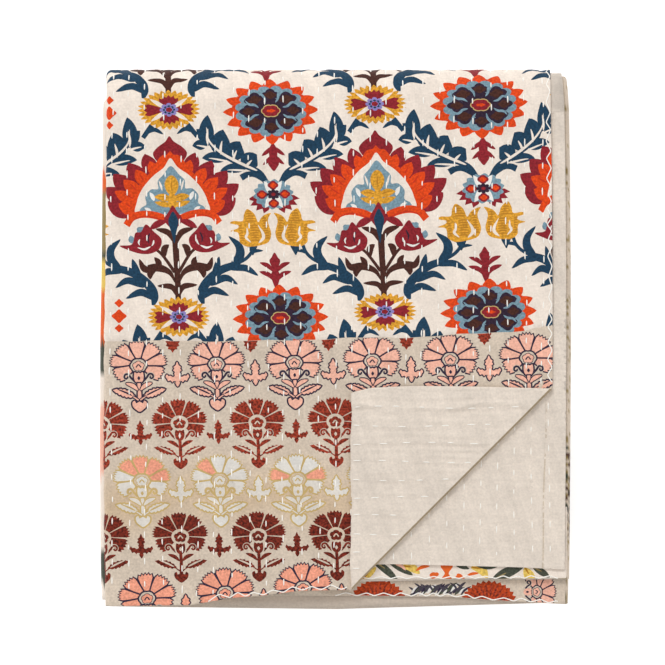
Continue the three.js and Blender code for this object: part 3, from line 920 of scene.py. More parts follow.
def carnation(fill, line, other=None, petals=()):
    """A fan-shaped head on its stem, the hub at the origin. With a line ink each shape is edged in it."""
    ground = BAND_GROUND
    m = Print()

    def draw(outline, at=(0, 0), turn=0.0, ink=None, by=1.15, twice=False):
        put = m.pair if twice else m.add
        if line:
            put(line, grown(outline, by), at, turn)
        put(ink or fill, outline, at, turn)

    for number, row in enumerate(PETALS):
        gap = 3.2 if line else 2.1
        ink = other if number in petals else None
        draw(wedge(5.0, row["reach"], row["start"] + gap, row["stop"] - gap, 5, 0.86, 0.09), ink=ink)
    m.add(ground, ringed(6.3, 5.5), (0, -0.6))
    if line:
        m.add(line, ringed(6.8, 5.9, 6, 0.08), (0, -0.6))
        m.add(ground, ringed(5.6, 4.7, 6, 0.08), (0, -0.6))
    draw(ringed(4.6 - 0.6 * bool(line), 3.8 - 0.5 * bool(line), 5, 0.2, turn=math.pi / 2), (0, -0.8), by=0.5)
    m.add(line or ground, stroke([(-1.8, -1.8), (0, 0.2), (1.8, -1.8)], 0.9, 0.9, step=0.9))
    curl = [(3.2, -11.4), (5.6, -9.0), (7.4, -6.6), (9.6, -6.8), (10.2, -8.8), (8.8, -9.8), (7.8, -8.6)]
    m.pair(ground, stroke(curl, 2.6, 2.0, step=1.0))
    m.pair(line or fill, stroke(curl, 1.6, 1.3, step=1.0))
    m.add(ground, ringed(4.2, 5.0), (0, -9.0))
    draw(mirrored([(0, -13.2), (2.6, -11.6), (3.4, -8.6), (2.9, -5.2), (1.2, -6.0), (0, -5.4)], step=1.0))
    m.add(line or ground, ringed(1.0, 1.4, 4, 0.2), (0, -9.4))
    draw(stroke([(0, -13.0), (0.2, -20), (0, -29)], 2.2, 2.6))
    draw(blade([(0.8, -18.0), (4.2, -14.8), (9.2, -12.9)], 2.4, 0.5, step=1.0), twice=True, by=0.75)
    draw(leaf(16.5, 5.6, bend=0.2, teeth=6, depth=0.42), (3.0, -22.6), -66, twice=True)
    draw(stroke([(0.6, -25.0), (2.6, -23.6), (4.4, -22.4)], 1.0, 0.6, step=1.0), twice=True, by=0.75)
    m.pair(line or ground, blade([(5.0, -21.7), (10.0, -19.2), (15.5, -16.9)], 0.9, 0.4))
    foot = [(0, -33.2), (2.4, -31.8), (4.6, -29.6), (5.0, -26.6), (3.2, -25.4), (2.6, -27.2)]
    draw(mirrored([*foot, (1.2, -26.6), (0, -26)], step=1.0))
    return m


def fleur(fill, line):
    """The small cross-shaped flower between two heads."""
    m = Print()
    cross = [(0, -8.4), (1.6, -5.8), (1.2, -4.6), (3.0, -4.4), (3.6, -5.4), (5.0, -3.8), (6.6, -4.4)]
    cross += [(7.4, -2.6), (8.4, -1.4), (7.4, 0.4), (6.4, -0.8), (4.8, -0.6), (3.2, -1.6), (1.8, -0.6)]
    cross += [(2.2, 1.0), (1.6, 2.0), (3.0, 3.2), (2.0, 4.4), (2.6, 5.6), (1.2, 6.6), (0, 9.2)]
    outline = mirrored(cross, step=1.1)
    if line:
        m.add(line, grown(outline, 1.0))
    m.add(fill, outline)
    return m


def small_bud(fill):
    """The toothed bud whose lower half shows under the seam."""
    m = Print()
    half = [(0, -7.6), (1.4, -5.6), (3.4, -5.0), (3.0, -3.6), (4.8, -2.6), (4.0, -1.2), (5.0, 0.2)]
    m.add(fill, mirrored([*half, (4.2, 2.4), (0, 3.4)], step=1.0))
    return m


# Rows of the band from the seam down: the first head's hub, the tilt of the row, and inks
BAND_ROWS = [
    {"x": -139.4, "y": -19.4, "tilt": 0.02, "fill": "pink", "line": "outline"},
    {"x": -165.6, "y": -60.8, "tilt": 0.012, "fill": "rust", "line": None},
    {"x": -137.0, "y": -101.0, "tilt": 0.01, "fill": "pearl", "line": "gold_line"},
    {"x": -165.0, "y": -141.2, "tilt": 0.012, "fill": "dark_rust", "line": None},
    {"x": -133.3, "y": -184.2, "tilt": 0.066, "fill": "salmon", "line": "outline"},
]
HEAD_STEP = 55.2
HEADS = 6
SALMON_PETALS = [(1, 2, 3, 4), (4,), (1, 5), (3, 4), (2,), (4, 5)]


def carnation_band(m):
    """The band's ground below the seam, and its rows of carnations."""
    x = np.arange(-200, 180, 4.0)
    top = line_of(x, seam_line(x))
    shapes = Print()
    for i in range(HEADS):
        x = -115.2 + HEAD_STEP * i
        shapes.put(small_bud("rust"), (x, seam_line(x) - 0.8))
    for row in BAND_ROWS:
        between = fleur(row["fill"], row["line"])
        for i in range(HEADS):
            petals = SALMON_PETALS[i] if row["fill"] == "pearl" else ()
            head = carnation(row["fill"], row["line"], "salmon", petals)
            x = row["x"] + HEAD_STEP * i
            y = row["y"] + row["tilt"] * (x - row["x"])
            shapes.put(head, (x, y), slant=(-0.03, row["tilt"]))
            shapes.put(between, (x + HEAD_STEP / 2, y - 7.0), slant=(-0.03, row["tilt"]))
    m.add(BAND_GROUND, np.vstack([top, [[200, -230], [-220, -230]]]))
    for ink, p in shapes.shapes:
        below = line_of(p[:, 0], np.minimum(p[:, 1], seam_line(p[:, 0]) - 0.2))
        if p[:, 1].min() < 12:
            m.shapes.append((ink, below))


def print_drift(x, y):
    """How far the cloth has carried the large print from an even repeat."""
    edge = np.clip((x - 112) / 52, 0, 1.4) ** 1.5
    across = 1.5 * np.cos(2 * math.pi * (x + 118) / 297) - 7.0 * edge
    up = 5.5 * edge * np.exp(-(((y - 135) / 55) ** 2))
    up -= 4.0 * np.exp(-(((x - 31) / 45) ** 2) - ((y - 66) / 34) ** 2)
    return line_of(across, up)


def floral_panel(m, low, high):
    """Repeats of the large print between two heights, without a rosette on the print's side border."""
    unit = floral_unit()
    bordered = floral_unit(with_rosette=False)
    repeats = Print()
    for row in range(-1, 5):
        for column in range(-2, 4):
            x = FLORAL_START[0] + column * FLORAL_ACROSS[0] + row * FLORAL_UP[0]
            y = FLORAL_START[1] + column * FLORAL_ACROSS[1] + row * FLORAL_UP[1]
            if low - 160 < y < high + 90:
                repeats.put(unit if x > -160 else bordered, (x, y), slant=FLORAL_SLANT)
    for ink, p in repeats.shapes:
        m.add(ink, p + print_drift(p[:, 0], p[:, 1]))


# Leaves along the edge of the third layer: a few points from foot to tip, and how wide
THIRD_LEAVES = [
    {"ink": "soft_yellow", "line": [(19, -172), (23, -167), (29, -163)], "wide": 6.5},
    {"ink": "leaf_grey", "line": [(25, -157), (35, -164), (45, -173)], "wide": 5.0},
    {"ink": "leaf_grey", "line": [(36, -157), (46, -163), (55, -168.5)], "wide": 5.0},
    {"ink": "soft_yellow", "line": [(47, -162), (54, -163), (60, -167.5)], "wide": 5.6},
    {"ink": "pink", "line": [(43, -161), (47, -162), (50, -165)], "wide": 1.8},
    {"ink": "soft_orange", "line": [(57, -165.5), (61, -163), (67, -162)], "wide": 2.2},
    {"ink": "leaf_grey", "line": [(84, -160), (89, -162), (95, -164)], "wide": 3.2},
    {"ink": "soft_orange", "line": [(93, -169), (97, -167.5), (102, -167)], "wide": 1.8},
    {"ink": "soft_yellow", "line": [(96, -163), (103, -164), (108, -170.5)], "wide": 6.5},
    {"ink": "leaf_grey", "line": [(98, -161), (108, -163), (118, -161)], "wide": 2.6},
    {"ink": "leaf_grey", "line": [(110, -173), (121, -167), (134, -162)], "wide": 7.0},
    {"ink": "soft_yellow", "line": [(134, -163), (137, -168), (141, -174)], "wide": 7.0},
    {"ink": "leaf_grey", "line": [(140, -163), (146, -166), (152, -170)], "wide": 4.6},
    {"ink": "leaf_grey", "line": [(4, -160), (10, -166), (17, -172)], "wide": 4.6},
]


def third_layer_print():
    """The edge of the panel that shows two layers down, in softer colours."""
    m = Print()
    for row in THIRD_LEAVES:
        m.add(row["ink"], blade(row["line"], row["wide"], 0.5))
        if row["wide"] > 4:
            vein = [np.add(p, (0.3, 0.2)) for p in row["line"][:2]]
            m.add("olive" if row["ink"] == "leaf_grey" else "ochre", blade(vein, 0.9, 0.5))
    m.add("soft_orange", mirrored([(0, -172), (3.6, -171), (1.4, -167), (4.4, -162), (0, -159)]), (79, 0))
    for at, turn in (((70, -168.5), 18), ((88.5, -170), -30)):
        m.add("soft_orange", ringed(3.6, 2.3, 3, 0.24), at, turn)
    return m


def flame_head():
    """A toothed rust fan without gaps, streaked from its hub."""
    m = Print()
    m.add("bright_rust", wedge(2, 21.0, -8, 188, 17, 0.85, 0.1))
    for turn in range(8, 176, 15):
        foot = (6.5 * math.cos(math.radians(turn)), 5.5 * math.sin(math.radians(turn)))
        m.add("rust", leaf(10.5, 1.5), foot, turn - 90)
    return m


def scribbles():
    """Short brush strokes in several directions between the fans."""
    m = Print()
    for i in range(27):
        x, y = 52.5 + 1.4 * i, -183.4 + 3.0 * (0.618 * i % 1)
        rise = 3.2 + 4.5 * (0.414 * i % 1)
        ink = ("feather", "pearl", "outline", "leaf_grey")[i % 4]
        line = [(x, y), (x + 3.0, y + 0.6 * rise), (x + 7.5 - 2 * (0.27 * i % 1), y + rise)]
        m.add(ink, blade(line, 1.3 + 0.9 * (0.732 * i % 1), 0.5))
        if i % 3 == 0:
            m.add("feather", blade([(x + 5, y), (x + 3, y + 4), (x - 0.5, y + 6.5)], 1.3, 0.5))
    return m


def fifth_layer_print():
    """The edge of the panel that shows four layers down, with one carnation lying on its side."""
    m = Print()
    m.add("greige", np.array([(-20, -140), (200, -140), (200, -215), (-20, -215)], float))
    m.put(scribbles(), (0, 0))
    for place in ((30.4, -189.0), (109.0, -190.0)):
        m.put(flame_head(), place)
    for ink, p in carnation("pink", "outline").shapes:
        if p[:, 1].min() > -14:
            m.shapes.append((ink, 0.76 * line_of(p[:, 1], -p[:, 0]) + (143.5, -180.5)))
    m.add("rust", ringed(3, 4, 5, 0.3), (160, -166))
    m.add("rust", ringed(2.4, 2.4, 5, 0.3), (159, -158))
    return m


# Building meshes


def colour_of(inks, x, y):
    """Linear colours of points by their ink, with the stain across the band, and the ink's wear."""
    colour = np.array([linear(rgb) for rgb in INKS.values()])[inks]
    tone = 1 + 0.05 * wavy(x, y, 47, 0.3) + 0.045 * wavy(x, y, 13, 1.9) + 0.04 * wavy(x, y, 4.7, 0.9)
    soaked = np.array([SOAKED.get(name, 0.0) for name in INKS])[inks]
    height = np.exp(-(((y + 116 + 7 * np.sin(x / 41)) / 21) ** 2))
    share = (0.85 * height * np.clip(1.1 + 0.5 * wavy(x, y, 60, 2.0), 0, 1) * soaked)[..., None]
    stained = colour * (1 - share) + np.minimum(colour, linear(STAIN)) * share
    wear = np.array([WEAR.get(name, PLAIN_WEAR) for name in INKS])[inks]
    return np.concatenate([np.clip(stained * tone[..., None], 0, 1), wear[..., None]], -1)


def new_piece(name, points, faces, colours, flat, materials, slots=None):
    """A mesh object from points in metres, faces, and a colour, its wear and a flat place for each corner."""
    mesh = bpy.data.meshes.new(name)
    mesh.from_pydata(points.tolist(), [], faces)
    ink = mesh.color_attributes.new("ink", "FLOAT_COLOR", "CORNER")
    filled = np.ones((len(colours), 4), np.float32)
    filled[:, :3] = colours[:, :3]
    ink.data.foreach_set("color", filled.ravel())
    if colours.shape[1] > 3:
        wear = mesh.attributes.new("wear", "FLOAT", "CORNER")
        wear.data.foreach_set("value", np.ascontiguousarray(colours[:, 3], np.float32))
    cloth = mesh.uv_layers.new(name="cloth")
    cloth.data.foreach_set("uv", (np.asarray(flat) * MM).astype(np.float32).ravel())
    for material in materials:
        mesh.materials.append(material)
    if slots is not None:
        mesh.polygons.foreach_set("material_index", np.asarray(slots, np.int32))
    mesh.polygons.foreach_set("use_smooth", np.ones(len(mesh.polygons), bool))
    mesh.update()
    piece = bpy.data.objects.new(name, mesh)
    bpy.context.scene.collection.objects.link(piece)
    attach(piece, "root")
    return piece


def bake_map(piece, places, low, high):
    """A map named OFBake over the flat cloth, so that the print keeps its size."""
    layer = piece.data.uv_layers.new(name="OFBake")
    spread = (places - low) / (np.asarray(high) - low)
    layer.data.foreach_set("uv", (0.01 + 0.98 * spread).astype(np.float32).ravel())


def loose_places(low, high, grid):
    """Places of a staggered grid between two corners."""
    columns = np.arange(low[0] + grid / 2, high[0], grid)
    rows = np.arange(low[1] + grid / 2, high[1], grid)
    return [(x + (grid / 2 if j % 2 else 0), y) for j, y in enumerate(rows) for x in columns]


def painted_triangles(border, shapes, grid, ground, edges):
    """Flat places, triangles, and the ink that lies on top of each triangle within the border."""
    low, high = border.min(0), border.max(0)
    verts = [tuple(p) for p in border]
    faces = [list(range(len(verts)))]
    inks = [INK_NUMBER[ground]]
    limits = [(*low.tolist(), *high.tolist())]
    for ink, outline in shapes:
        if (outline.max(0) < low).any() or (outline.min(0) > high).any():
            continue
        outline = outline[:: 1 if signed_area(outline) > 0 else -1]
        faces.append(list(range(len(verts), len(verts) + len(outline))))
        verts += [tuple(p) for p in outline]
        inks.append(INK_NUMBER[ink])
        limits.append((*outline.min(0).tolist(), *outline.max(0).tolist()))
    lines = []
    for line in edges:
        lines += [(len(verts) + i, len(verts) + i + 1) for i in range(len(line) - 1)]
        verts += [tuple(p) for p in line]
    verts += loose_places(low, high, grid)
    places, _, tris, _, _, owners = delaunay_2d_cdt([Vector(v) for v in verts], lines, faces, 0, 1e-4, True)
    flat = np.array([tuple(p) for p in places])
    inside = [(t, o) for t, o in zip(tris, owners) if o and min(o) == 0 and len(t) == 3]
    corners = np.array([t for t, _ in inside])

    def ink_on_top(place, owned):
        """The ink of the last shape painted over a triangle."""
        for k in sorted(owned, reverse=True):
            if limits[k][0] <= place[0] <= limits[k][2] and limits[k][1] <= place[1] <= limits[k][3]:
                return inks[k]
        return inks[0]

    middles = flat[corners].mean(1).tolist()
    return flat, corners, np.array([ink_on_top(place, o) for place, (_, o) in zip(middles, inside)])


def skin(name, border, shapes, layer, relief, material, ground="cream", side=1, lift=0.12, edges=()):
    """One face of a layer as a thin surface on its folds: border is its flat outline, shapes its print."""
    flat, corners, inks = painted_triangles(border, shapes, SKIN_GRID[layer], ground, edges)
    used, corners = np.unique(corners, return_inverse=True)
    corners = corners.reshape(-1, 3)
    flat = flat[used]
    w, length = layer_place(flat[:, 0], flat[:, 1], layer)
    points = folded(w, length, side * (CLOTH / 2 + lift + relief(flat[:, 0], flat[:, 1])))
    a, b, c = (flat[corners[:, i]] for i in range(3))
    turned = (b[:, 0] - a[:, 0]) * (c[:, 1] - a[:, 1]) - (b[:, 1] - a[:, 1]) * (c[:, 0] - a[:, 0]) < 0
    corners[turned] = corners[turned][:, ::-1]
    at = flat[corners.ravel()]
    colours = colour_of(np.repeat(inks, 3), at[:, 0], at[:, 1])
    piece = new_piece(name, points, corners.tolist(), colours, at, [material])
    bake_map(piece, at, border.min(0), border.max(0))
    return piece


# The cloth's body under the printed faces


def diagonal_start(y, reach):
    """w at which the top layer begins, at the right edge or at the turned fold."""
    x = np.minimum(reach["first_end"], np.minimum(turned_fold(y), FOLD_RIGHT[0]))
    return (reach["first_end"] - x) / (reach["first_end"] - reach["left_centre"])


# Steps of the body on each layer and fold across the quilt, and on each slab and fold along it
BODY_ACROSS = [24, 10, 12, 8, 24, 8, 24]
BODY_ALONG = [140, 18, 40, 8, 50, 8, 64]


def body_grid():
    """w and length at every place of the body's rows."""
    across = np.concatenate([k + np.arange(n) / n for k, n in enumerate(BODY_ACROSS)] + [[7.0]])
    along = np.concatenate([k + np.arange(n) / n for k, n in enumerate(BODY_ALONG)] + [[7.0]])
    w, length = np.meshgrid(across, along)
    on_top = length < 1
    for _ in range(3):
        y = length_line(length.ravel(), w.ravel())[0].reshape(w.shape)
        start = diagonal_start(y, {k: v.reshape(w.shape) for k, v in reach_at(length, y).items()})
        base = np.broadcast_to(across, w.shape)
        w = np.where(on_top & (base < 1), start + (1 - start) * base, base)
    return w, length


# Colours of the left side folds, from the bottom up
LEFT_FOLDS = [
    {"y": -190, "ink": "cream"},
    {"y": -160, "ink": "leaf_grey"},
    {"y": -140, "ink": "cream"},
    {"y": -60, "ink": "pink"},
    {"y": -40, "ink": "cream"},
    {"y": -17, "ink": "leaf_grey"},
    {"y": -3, "ink": "leaf_grey"},
    {"y": 0, "ink": "soft_orange"},
    {"y": 30, "ink": "soft_orange"},
    {"y": 33, "ink": "soft_yellow"},
    {"y": 52, "ink": "soft_yellow"},
    {"y": 55, "ink": "leaf_grey"},
    {"y": 66, "ink": "olive"},
    {"y": 103, "ink": "olive"},
    {"y": 108, "ink": "soft_orange"},
    {"y": 128, "ink": "cream"},
    {"y": 190, "ink": "cream"},
]


def body_inks(w, length, y, side):
    """Ink number of each place of the body: plain on the backing with painted shade past length 6, bands and
    speckle on the side folds.
    """
    if side < 0:
        # Painted shade: the backing is darker past length 6
        return np.where(length > 6, INK_NUMBER["lower_backing"], INK_NUMBER["backing"])
    rows = np.array([row["y"] for row in LEFT_FOLDS])
    nearest = np.abs(y[..., None] + 2 * wavy(y, w * 40, 21, 1.0)[..., None] - rows).argmin(-1)
    left = np.array([INK_NUMBER[row["ink"]] for row in LEFT_FOLDS])[nearest]
    right = np.full(w.shape, INK_NUMBER["greige"])
    speckle = (np.sin(12.9898 * y + 78.233 * w) * 43758.5453) % 1
    shown = np.interp(y, [-150, -140, -90, -70, 60, 190], [0.85, 0.42, 0.42, 0.82, 0.9, 0.95])
    for more, ink in ((0.0, "olive"), (0.12, "leaf_grey"), (0.3, "brown"), (0.45, "outline")):
        right = np.where(speckle > shown + more, INK_NUMBER[ink], right)
    on_left = ((w > 0.97) & (w < 2.06)) | ((w > 4.94) & (w < 6.06))
    return np.where(on_left, left, right)


def cloth_body(materials):
    """The whole folded cloth as a closed sheet, its top layer's corner cut off along the turned fold."""
    w, length = body_grid()
    rows, columns = w.shape
    y = length_line(length.ravel(), w.ravel())[0].reshape(w.shape)
    skinned = (w < 1.7) & (length < 3)
    sunk = np.where(skinned, np.where(length < 2, SUNK_TOP, SUNK_ELSEWHERE), 0.0)
    sides = []
    for side in (1, -1):
        uneven = 0.024 * wavy(w * 300, length * 350, 26, 1.3 + side)
        drop = np.where(side > 0, sunk, np.where((w > 6.2) & (length < 1), SUNK_ELSEWHERE, 0.0))
        sides.append(folded(w, length, side * (CLOTH / 2 - drop - 0.05 + uneven * (drop == 0))))
    points = np.concatenate([s.reshape(-1, 3) for s in sides])
    number = np.arange(rows * columns).reshape(rows, columns)
    quads = [number[:-1, :-1], number[1:, :-1], number[1:, 1:], number[:-1, 1:]]
    front = np.stack([q.ravel() for q in quads], 1)
    back = front[:, ::-1] + rows * columns
    border = np.concatenate([number[0, :], number[1:, -1], number[-1, -2::-1], number[-2::-1, 0]])
    rim = np.stack([border[:-1], border[1:], border[1:] + rows * columns, border[:-1] + rows * columns], 1)
    faces = np.vstack([front, back, rim])
    inks = np.concatenate([body_inks(w, length, y, 1).ravel(), body_inks(w, length, y, -1).ravel()])
    flat_x = 155 - TOP_WIDTH * w
    flat_y = -180 + 340 * length
    flat = line_of(np.tile(flat_x.ravel(), 2), np.tile(flat_y.ravel(), 2))
    corner_inks = inks[faces.ravel()]
    corner_inks[-4 * len(rim) :] = inks[np.repeat(rim[:, 0], 4)]
    at = flat[faces.ravel()]
    colours = colour_of(corner_inks, at[:, 0], 0.9 * at[:, 1] + STAINLESS)
    slots = np.concatenate([np.zeros(len(front)), np.ones(len(back)), np.zeros(len(rim))])
    return new_piece("quilt_body", points, faces.tolist(), colours, at, materials, slots)


# The turned corner

# How far its upper edge lies above or below a straight line
UPPER_EDGE = [
    {"x": 8.5, "rise": -3.8},
    {"x": 14, "rise": -2.0},
    {"x": 25, "rise": 0.8},
    {"x": 55, "rise": 2.3},
    {"x": 100, "rise": 1.8},
    {"x": 149, "rise": 0.4},
]
CORNER_ROWS = {"first": -49.5, "step": 12.75}  # stitch rows of the turned corner, from the top down
CORNER_TURN = math.pi * PITCH / 2  # flat length of the turned fold's bend


def corner_row(number, x):
    """y of a stitch row on the turned corner."""
    return CORNER_ROWS["first"] - CORNER_ROWS["step"] * number + 0.8 * np.sin(x / 19 + 2.2 * number)


def corner_points(along, out, side, offset):
    """Points of the turned corner: along runs down the fold, out is how far the cloth reaches from it."""
    radius = PITCH / 2
    angle = np.clip(out / radius, 0, math.pi)
    reach = radius - side * offset
    past = np.minimum(out, 0) + np.minimum(math.pi * radius - out, 0)
    away = past + reach * np.sin(angle)
    x = FOLD_RIGHT[0] - (along - away) * DIAGONAL
    y = FOLD_RIGHT[1] - (along + away) * DIAGONAL
    near_left = np.exp(-(((x - FOLD_RIGHT[0] + FLAP_LEG) / 9) ** 2))
    near_top = np.exp(-(((y - FOLD_RIGHT[1]) / 11) ** 2))
    free = np.clip(out / 4, 0, 1)
    x = x + free * near_left * (0.5 * np.sin(y / 11) + 0.3 * np.sin(y / 4.7 + 1))
    y = y + free * near_top * lookup(UPPER_EDGE, "x", x, "rise")
    return settle(np.stack([x, y, HEIGHT + GAP / 2 - reach * np.cos(angle)], 1))


def corner_flat(along, out):
    """x and y of places of the turned corner."""
    return FOLD_RIGHT[0] - (along + out) * DIAGONAL, FOLD_RIGHT[1] - (along - out) * DIAGONAL


def corner_relief(along, out):
    """Puckers of the turned corner: stitch rows now run across, with fine crinkles between them."""
    x, y = corner_flat(along, out)
    fold_y = -46.0 - 2.6 * np.sin((x - 20) / 23) + 0.8 * np.sin(x / 7)
    crease = 1.3 * np.exp(-(((y - fold_y) / 1.7) ** 2)) - 0.6 * np.exp(-(((y - fold_y + 4.2) / 2.2) ** 2))
    fade = np.clip(0.75 + 0.5 * wavy(x, 0 * y, 90, 1.9), 0, 1)
    number = np.round((CORNER_ROWS["first"] - y) / CORNER_ROWS["step"])
    away = y - corner_row(number, x)
    rows = 0.6 * np.exp(-((away / 1.6) ** 2)) * (0.7 + 0.3 * np.sin(x / 4.1)) * (number >= 0)
    patch = 0.55 + 0.45 * wavy(x, y, 55, 1.1)
    crinkles = 0.3 * np.sin(2 * math.pi * (y + 1.5 * wavy(0.35 * x, y, 31, 0.3)) / 5.2) * patch
    ribs = 0.08 * np.sin(2 * math.pi * (x + 0.6 * wavy(x, y, 25, 0.3)) / 3.4)
    ribs = ribs + 0.12 * wavy(0.5 * x, y, 19, 0.8)
    return np.where(out > 4, ribs + crinkles + crease * fade - rows, 0.0)


def joined(below, above):
    """Triangles between two rows of points, each given by its place along the row and its number."""
    faces = []
    i = j = 0
    while i < len(below) - 1 or j < len(above) - 1:
        after = below[i + 1][0] if i < len(below) - 1 else math.inf
        other = above[j + 1][0] if j < len(above) - 1 else math.inf
        start, across = below[i][1], above[j][1]
        i, j = (i + 1, j) if after < other else (i, j + 1)
        faces.append([int(across), int(below[i][1] if after < other else above[j][1]), int(start)])
    return faces


def corner_grid():
    """Points, flat places and rows of the turned corner, its plain side first. A row runs down the fold."""
    long = FLAP_LEG * math.sqrt(2)
    step = 1.3
    outs = [-7.0, -3.5, 0.0] + [CORNER_TURN * k / 8 for k in range(1, 9)]
    outs += list(np.arange(outs[-1] + step, long / 2 - 0.3, step)) + [long / 2 - 0.25]
    points, flats, rows = [], [], []
    number = 0
    for side in (-1, 1):
        for out in outs:
            start = max(out, 0.6)
            count = max(2, int((long - 2 * start) / step))
            along = np.linspace(start, long - start, count)
            across = np.full(count, out)
            edge = np.minimum(along - start, long - start - along) * DIAGONAL
            thick = CLOTH / 2 - (0.25 if out < 0 else 0)
            relief = corner_relief(along, across) if side < 0 else np.zeros(count)
            round_off = 0.7 * np.clip(1 - edge / ROUNDED, 0, 1) ** 2 if out > CORNER_TURN else 0
            points.append(corner_points(along, across, side, thick + relief - round_off))
            flats.append(line_of(along, out))
            rows.append(line_of(along, number + np.arange(count)))
            number += count
    return np.vstack(points), np.vstack(flats), rows


def corner_faces(back, front):
    """Triangles of both sides of the turned corner and of the rim between them."""
    faces = []
    for i in range(len(back) - 1):
        faces += joined(back[i], back[i + 1]) + joined(front[i + 1], front[i])
    faces += joined(front[0], back[0]) + joined(back[-1], front[-1])
    for end, flip in ((0, 1), (-1, -1)):
        sides = [[(i, row[end][1]) for i, row in enumerate(face)] for face in (back, front)]
        faces += joined(*sides[::flip])
    return np.array(faces)


def turned_corner(materials):
    """The triangle folded back over the top layer, a closed sheet with the backing outside."""
    points, flats, rows = corner_grid()
    back, front = rows[: len(rows) // 2], rows[len(rows) // 2 :]
    faces = corner_faces(back, front)
    on_back = (faces < sum(len(r) for r in back)).all(1)
    at = flats[faces.ravel()]
    bent = at[:, 1].reshape(-1, 3).mean(1)
    # Painted shade: a darker strip on the backing where the turned fold bends round
    bend_shade = on_back & (bent > 0.4 * CORNER_TURN) & (bent < 0.85 * CORNER_TURN)
    inks = np.where(on_back, INK_NUMBER["backing"], INK_NUMBER["greige"])
    inks = np.where(bend_shade, INK_NUMBER["crease"], inks)
    at = line_of(*corner_flat(at[:, 0], at[:, 1]))
    colours = colour_of(np.repeat(inks, 3), at[:, 0], at[:, 1] + STAINLESS)
    return new_piece("turned_corner", points, faces.tolist(), colours, at, materials, np.where(on_back, 1, 0))


# Threads


def thread(path, normal, wide, high):
    """Points and faces of one thread along a path of points, flattened onto the cloth, in metres."""
    sides = THREAD_SIDES
    ahead = np.gradient(path, axis=0)
    ahead /= np.linalg.norm(ahead, axis=1)[:, None]
    across = np.cross(ahead, normal)
    across /= np.linalg.norm(across, axis=1)[:, None]
    up = np.cross(across, ahead)
    turn = np.arange(sides) / sides * 2 * math.pi
    ring = across[:, None] * np.cos(turn)[None, :, None] * wide[:, None, None] / 2
    ring = ring + up[:, None] * np.sin(turn)[None, :, None] * high[:, None, None] / 2
    points = (path[:, None] + ring).reshape(-1, 3)
    faces = []
    for i in range(len(path) - 1):
        for k in range(sides):
            a, b = i * sides + k, i * sides + (k + 1) % sides
            faces.append([a, b, b + sides, a + sides])
    faces += [list(range(sides))[::-1], [len(points) - sides + k for k in range(sides)]]
    return points, faces


class Threads:
    """Many threads gathered into one mesh."""

    def __init__(self):
        self.points = []
        self.faces = []
        self.count = 0

    def lay(self, path, normal, wide=THREAD_WIDE, high=THREAD_HIGH, tapered=True):
        """Adds one thread, narrower at its ends if it is tapered."""
        t = np.linspace(0, 1, len(path))
        taper = np.sqrt(np.clip(np.sin(math.pi * (0.04 + 0.92 * t)), 0, 1)) if tapered else np.ones_like(t)
        points, faces = thread(path, normal, wide * MM * taper, high * MM * (0.4 + 0.6 * taper))
        self.faces += [[i + self.count for i in face] for face in faces]
        self.points.append(points)
        self.count += len(points)

    def piece(self, name, material, tone=THREAD_TONE):
        """The threads as one mesh object."""
        points = np.vstack(self.points)
        total = sum(len(f) for f in self.faces)
        colours = np.tile(linear(tone), (total, 1))
        return new_piece(name, points, self.faces, colours, np.zeros((total, 2)), [material])


def surface(x, y, layer, side, relief):
    """Points of a layer's face at flat places, and its way up."""
    w, length = layer_place(x, y, layer)
    base = CLOTH / 2 + relief
    low = folded(w, length, side * base)
    return low, folded(w, length, side * (base + 1)) - low


def running_stitches(threads, rng):
    """Dashes in rows up the top layer, on round the wide fold and underneath."""
    for number in range(STITCH_ROWS):
        y = LOWEST_STITCH + rng.uniform(0, STITCH_STEP)
        while y < FOLD_END + STITCHED_UNDER:
            long = STITCH_LONG * rng.uniform(0.75, 1.2)
            ys = np.linspace(y, y + long, 5)
            xs = stitch_line(number, ys) + rng.uniform(-0.3, 0.3)
            y += long + (STITCH_STEP - STITCH_LONG) * rng.uniform(0.7, 1.45)
            beyond = xs.max() > min(turned_fold(ys[0]), FOLD_RIGHT[0]) - 3
            if beyond or ys[0] < lookup(ENDS, "w", rough_w(xs[0]), "first") + 3:
                continue
            if ys[0] < FOLD_END:
                path, up = surface(xs, ys, "top", 1, puckers(xs, ys) + TOP_DIP + 0.12)
                threads.lay(path, up)
            else:
                path, up = surface(xs, ys, "under", 1, 0.3 * TOP_DIP - 0.04)
                threads.lay(path, up, high=0.3)


def second_stitches(threads, rng):
    """Dashes on the backing under the turned corner."""
    for number in range(SECOND_ROWS):
        y = LOWEST_SECOND_STITCH + rng.uniform(0, STITCH_STEP)
        while y < -34:
            ys = np.linspace(y, y + STITCH_LONG * rng.uniform(0.7, 1.1), 5)
            xs = second_line(number, ys)
            y += STITCH_STEP * rng.uniform(0.8, 1.25)
            if xs[0] < turned_fold(ys[0]) + 2 or ys[-1] > FOLD_RIGHT[1]:
                continue
            path, up = surface(xs, ys, "second", -1, second_relief(xs, ys) + 0.2 + SECOND_DIP)
            threads.lay(path, up, wide=0.8)


def corner_stitches(threads, rng):
    """Faint dashes on the turned corner, now running across."""
    lowest = FOLD_RIGHT[1] - FLAP_LEG
    for number in range(10):
        y = corner_row(number, 0)
        x = FOLD_RIGHT[0] - FLAP_LEG + 4
        while y > lowest and x < turned_fold(y) - 6:
            xs = np.linspace(x, x + STITCH_LONG * rng.uniform(0.7, 1.1), 5)
            ys = corner_row(number, xs)
            x += STITCH_STEP * rng.uniform(0.8, 1.3)
            if xs[-1] > turned_fold(y) - 3:
                continue
            left, down = (FOLD_RIGHT[0] - xs) / DIAGONAL, (FOLD_RIGHT[1] - ys) / DIAGONAL
            along = (left + down) / 2
            out = (left - down) / 2 + CORNER_TURN
            relief = corner_relief(along, out) + CORNER_DIP + 0.15
            low = corner_points(along, out, -1, CLOTH / 2 + relief)
            threads.lay(low, corner_points(along, out, -1, CLOTH / 2 + relief + 1) - low, wide=0.8)


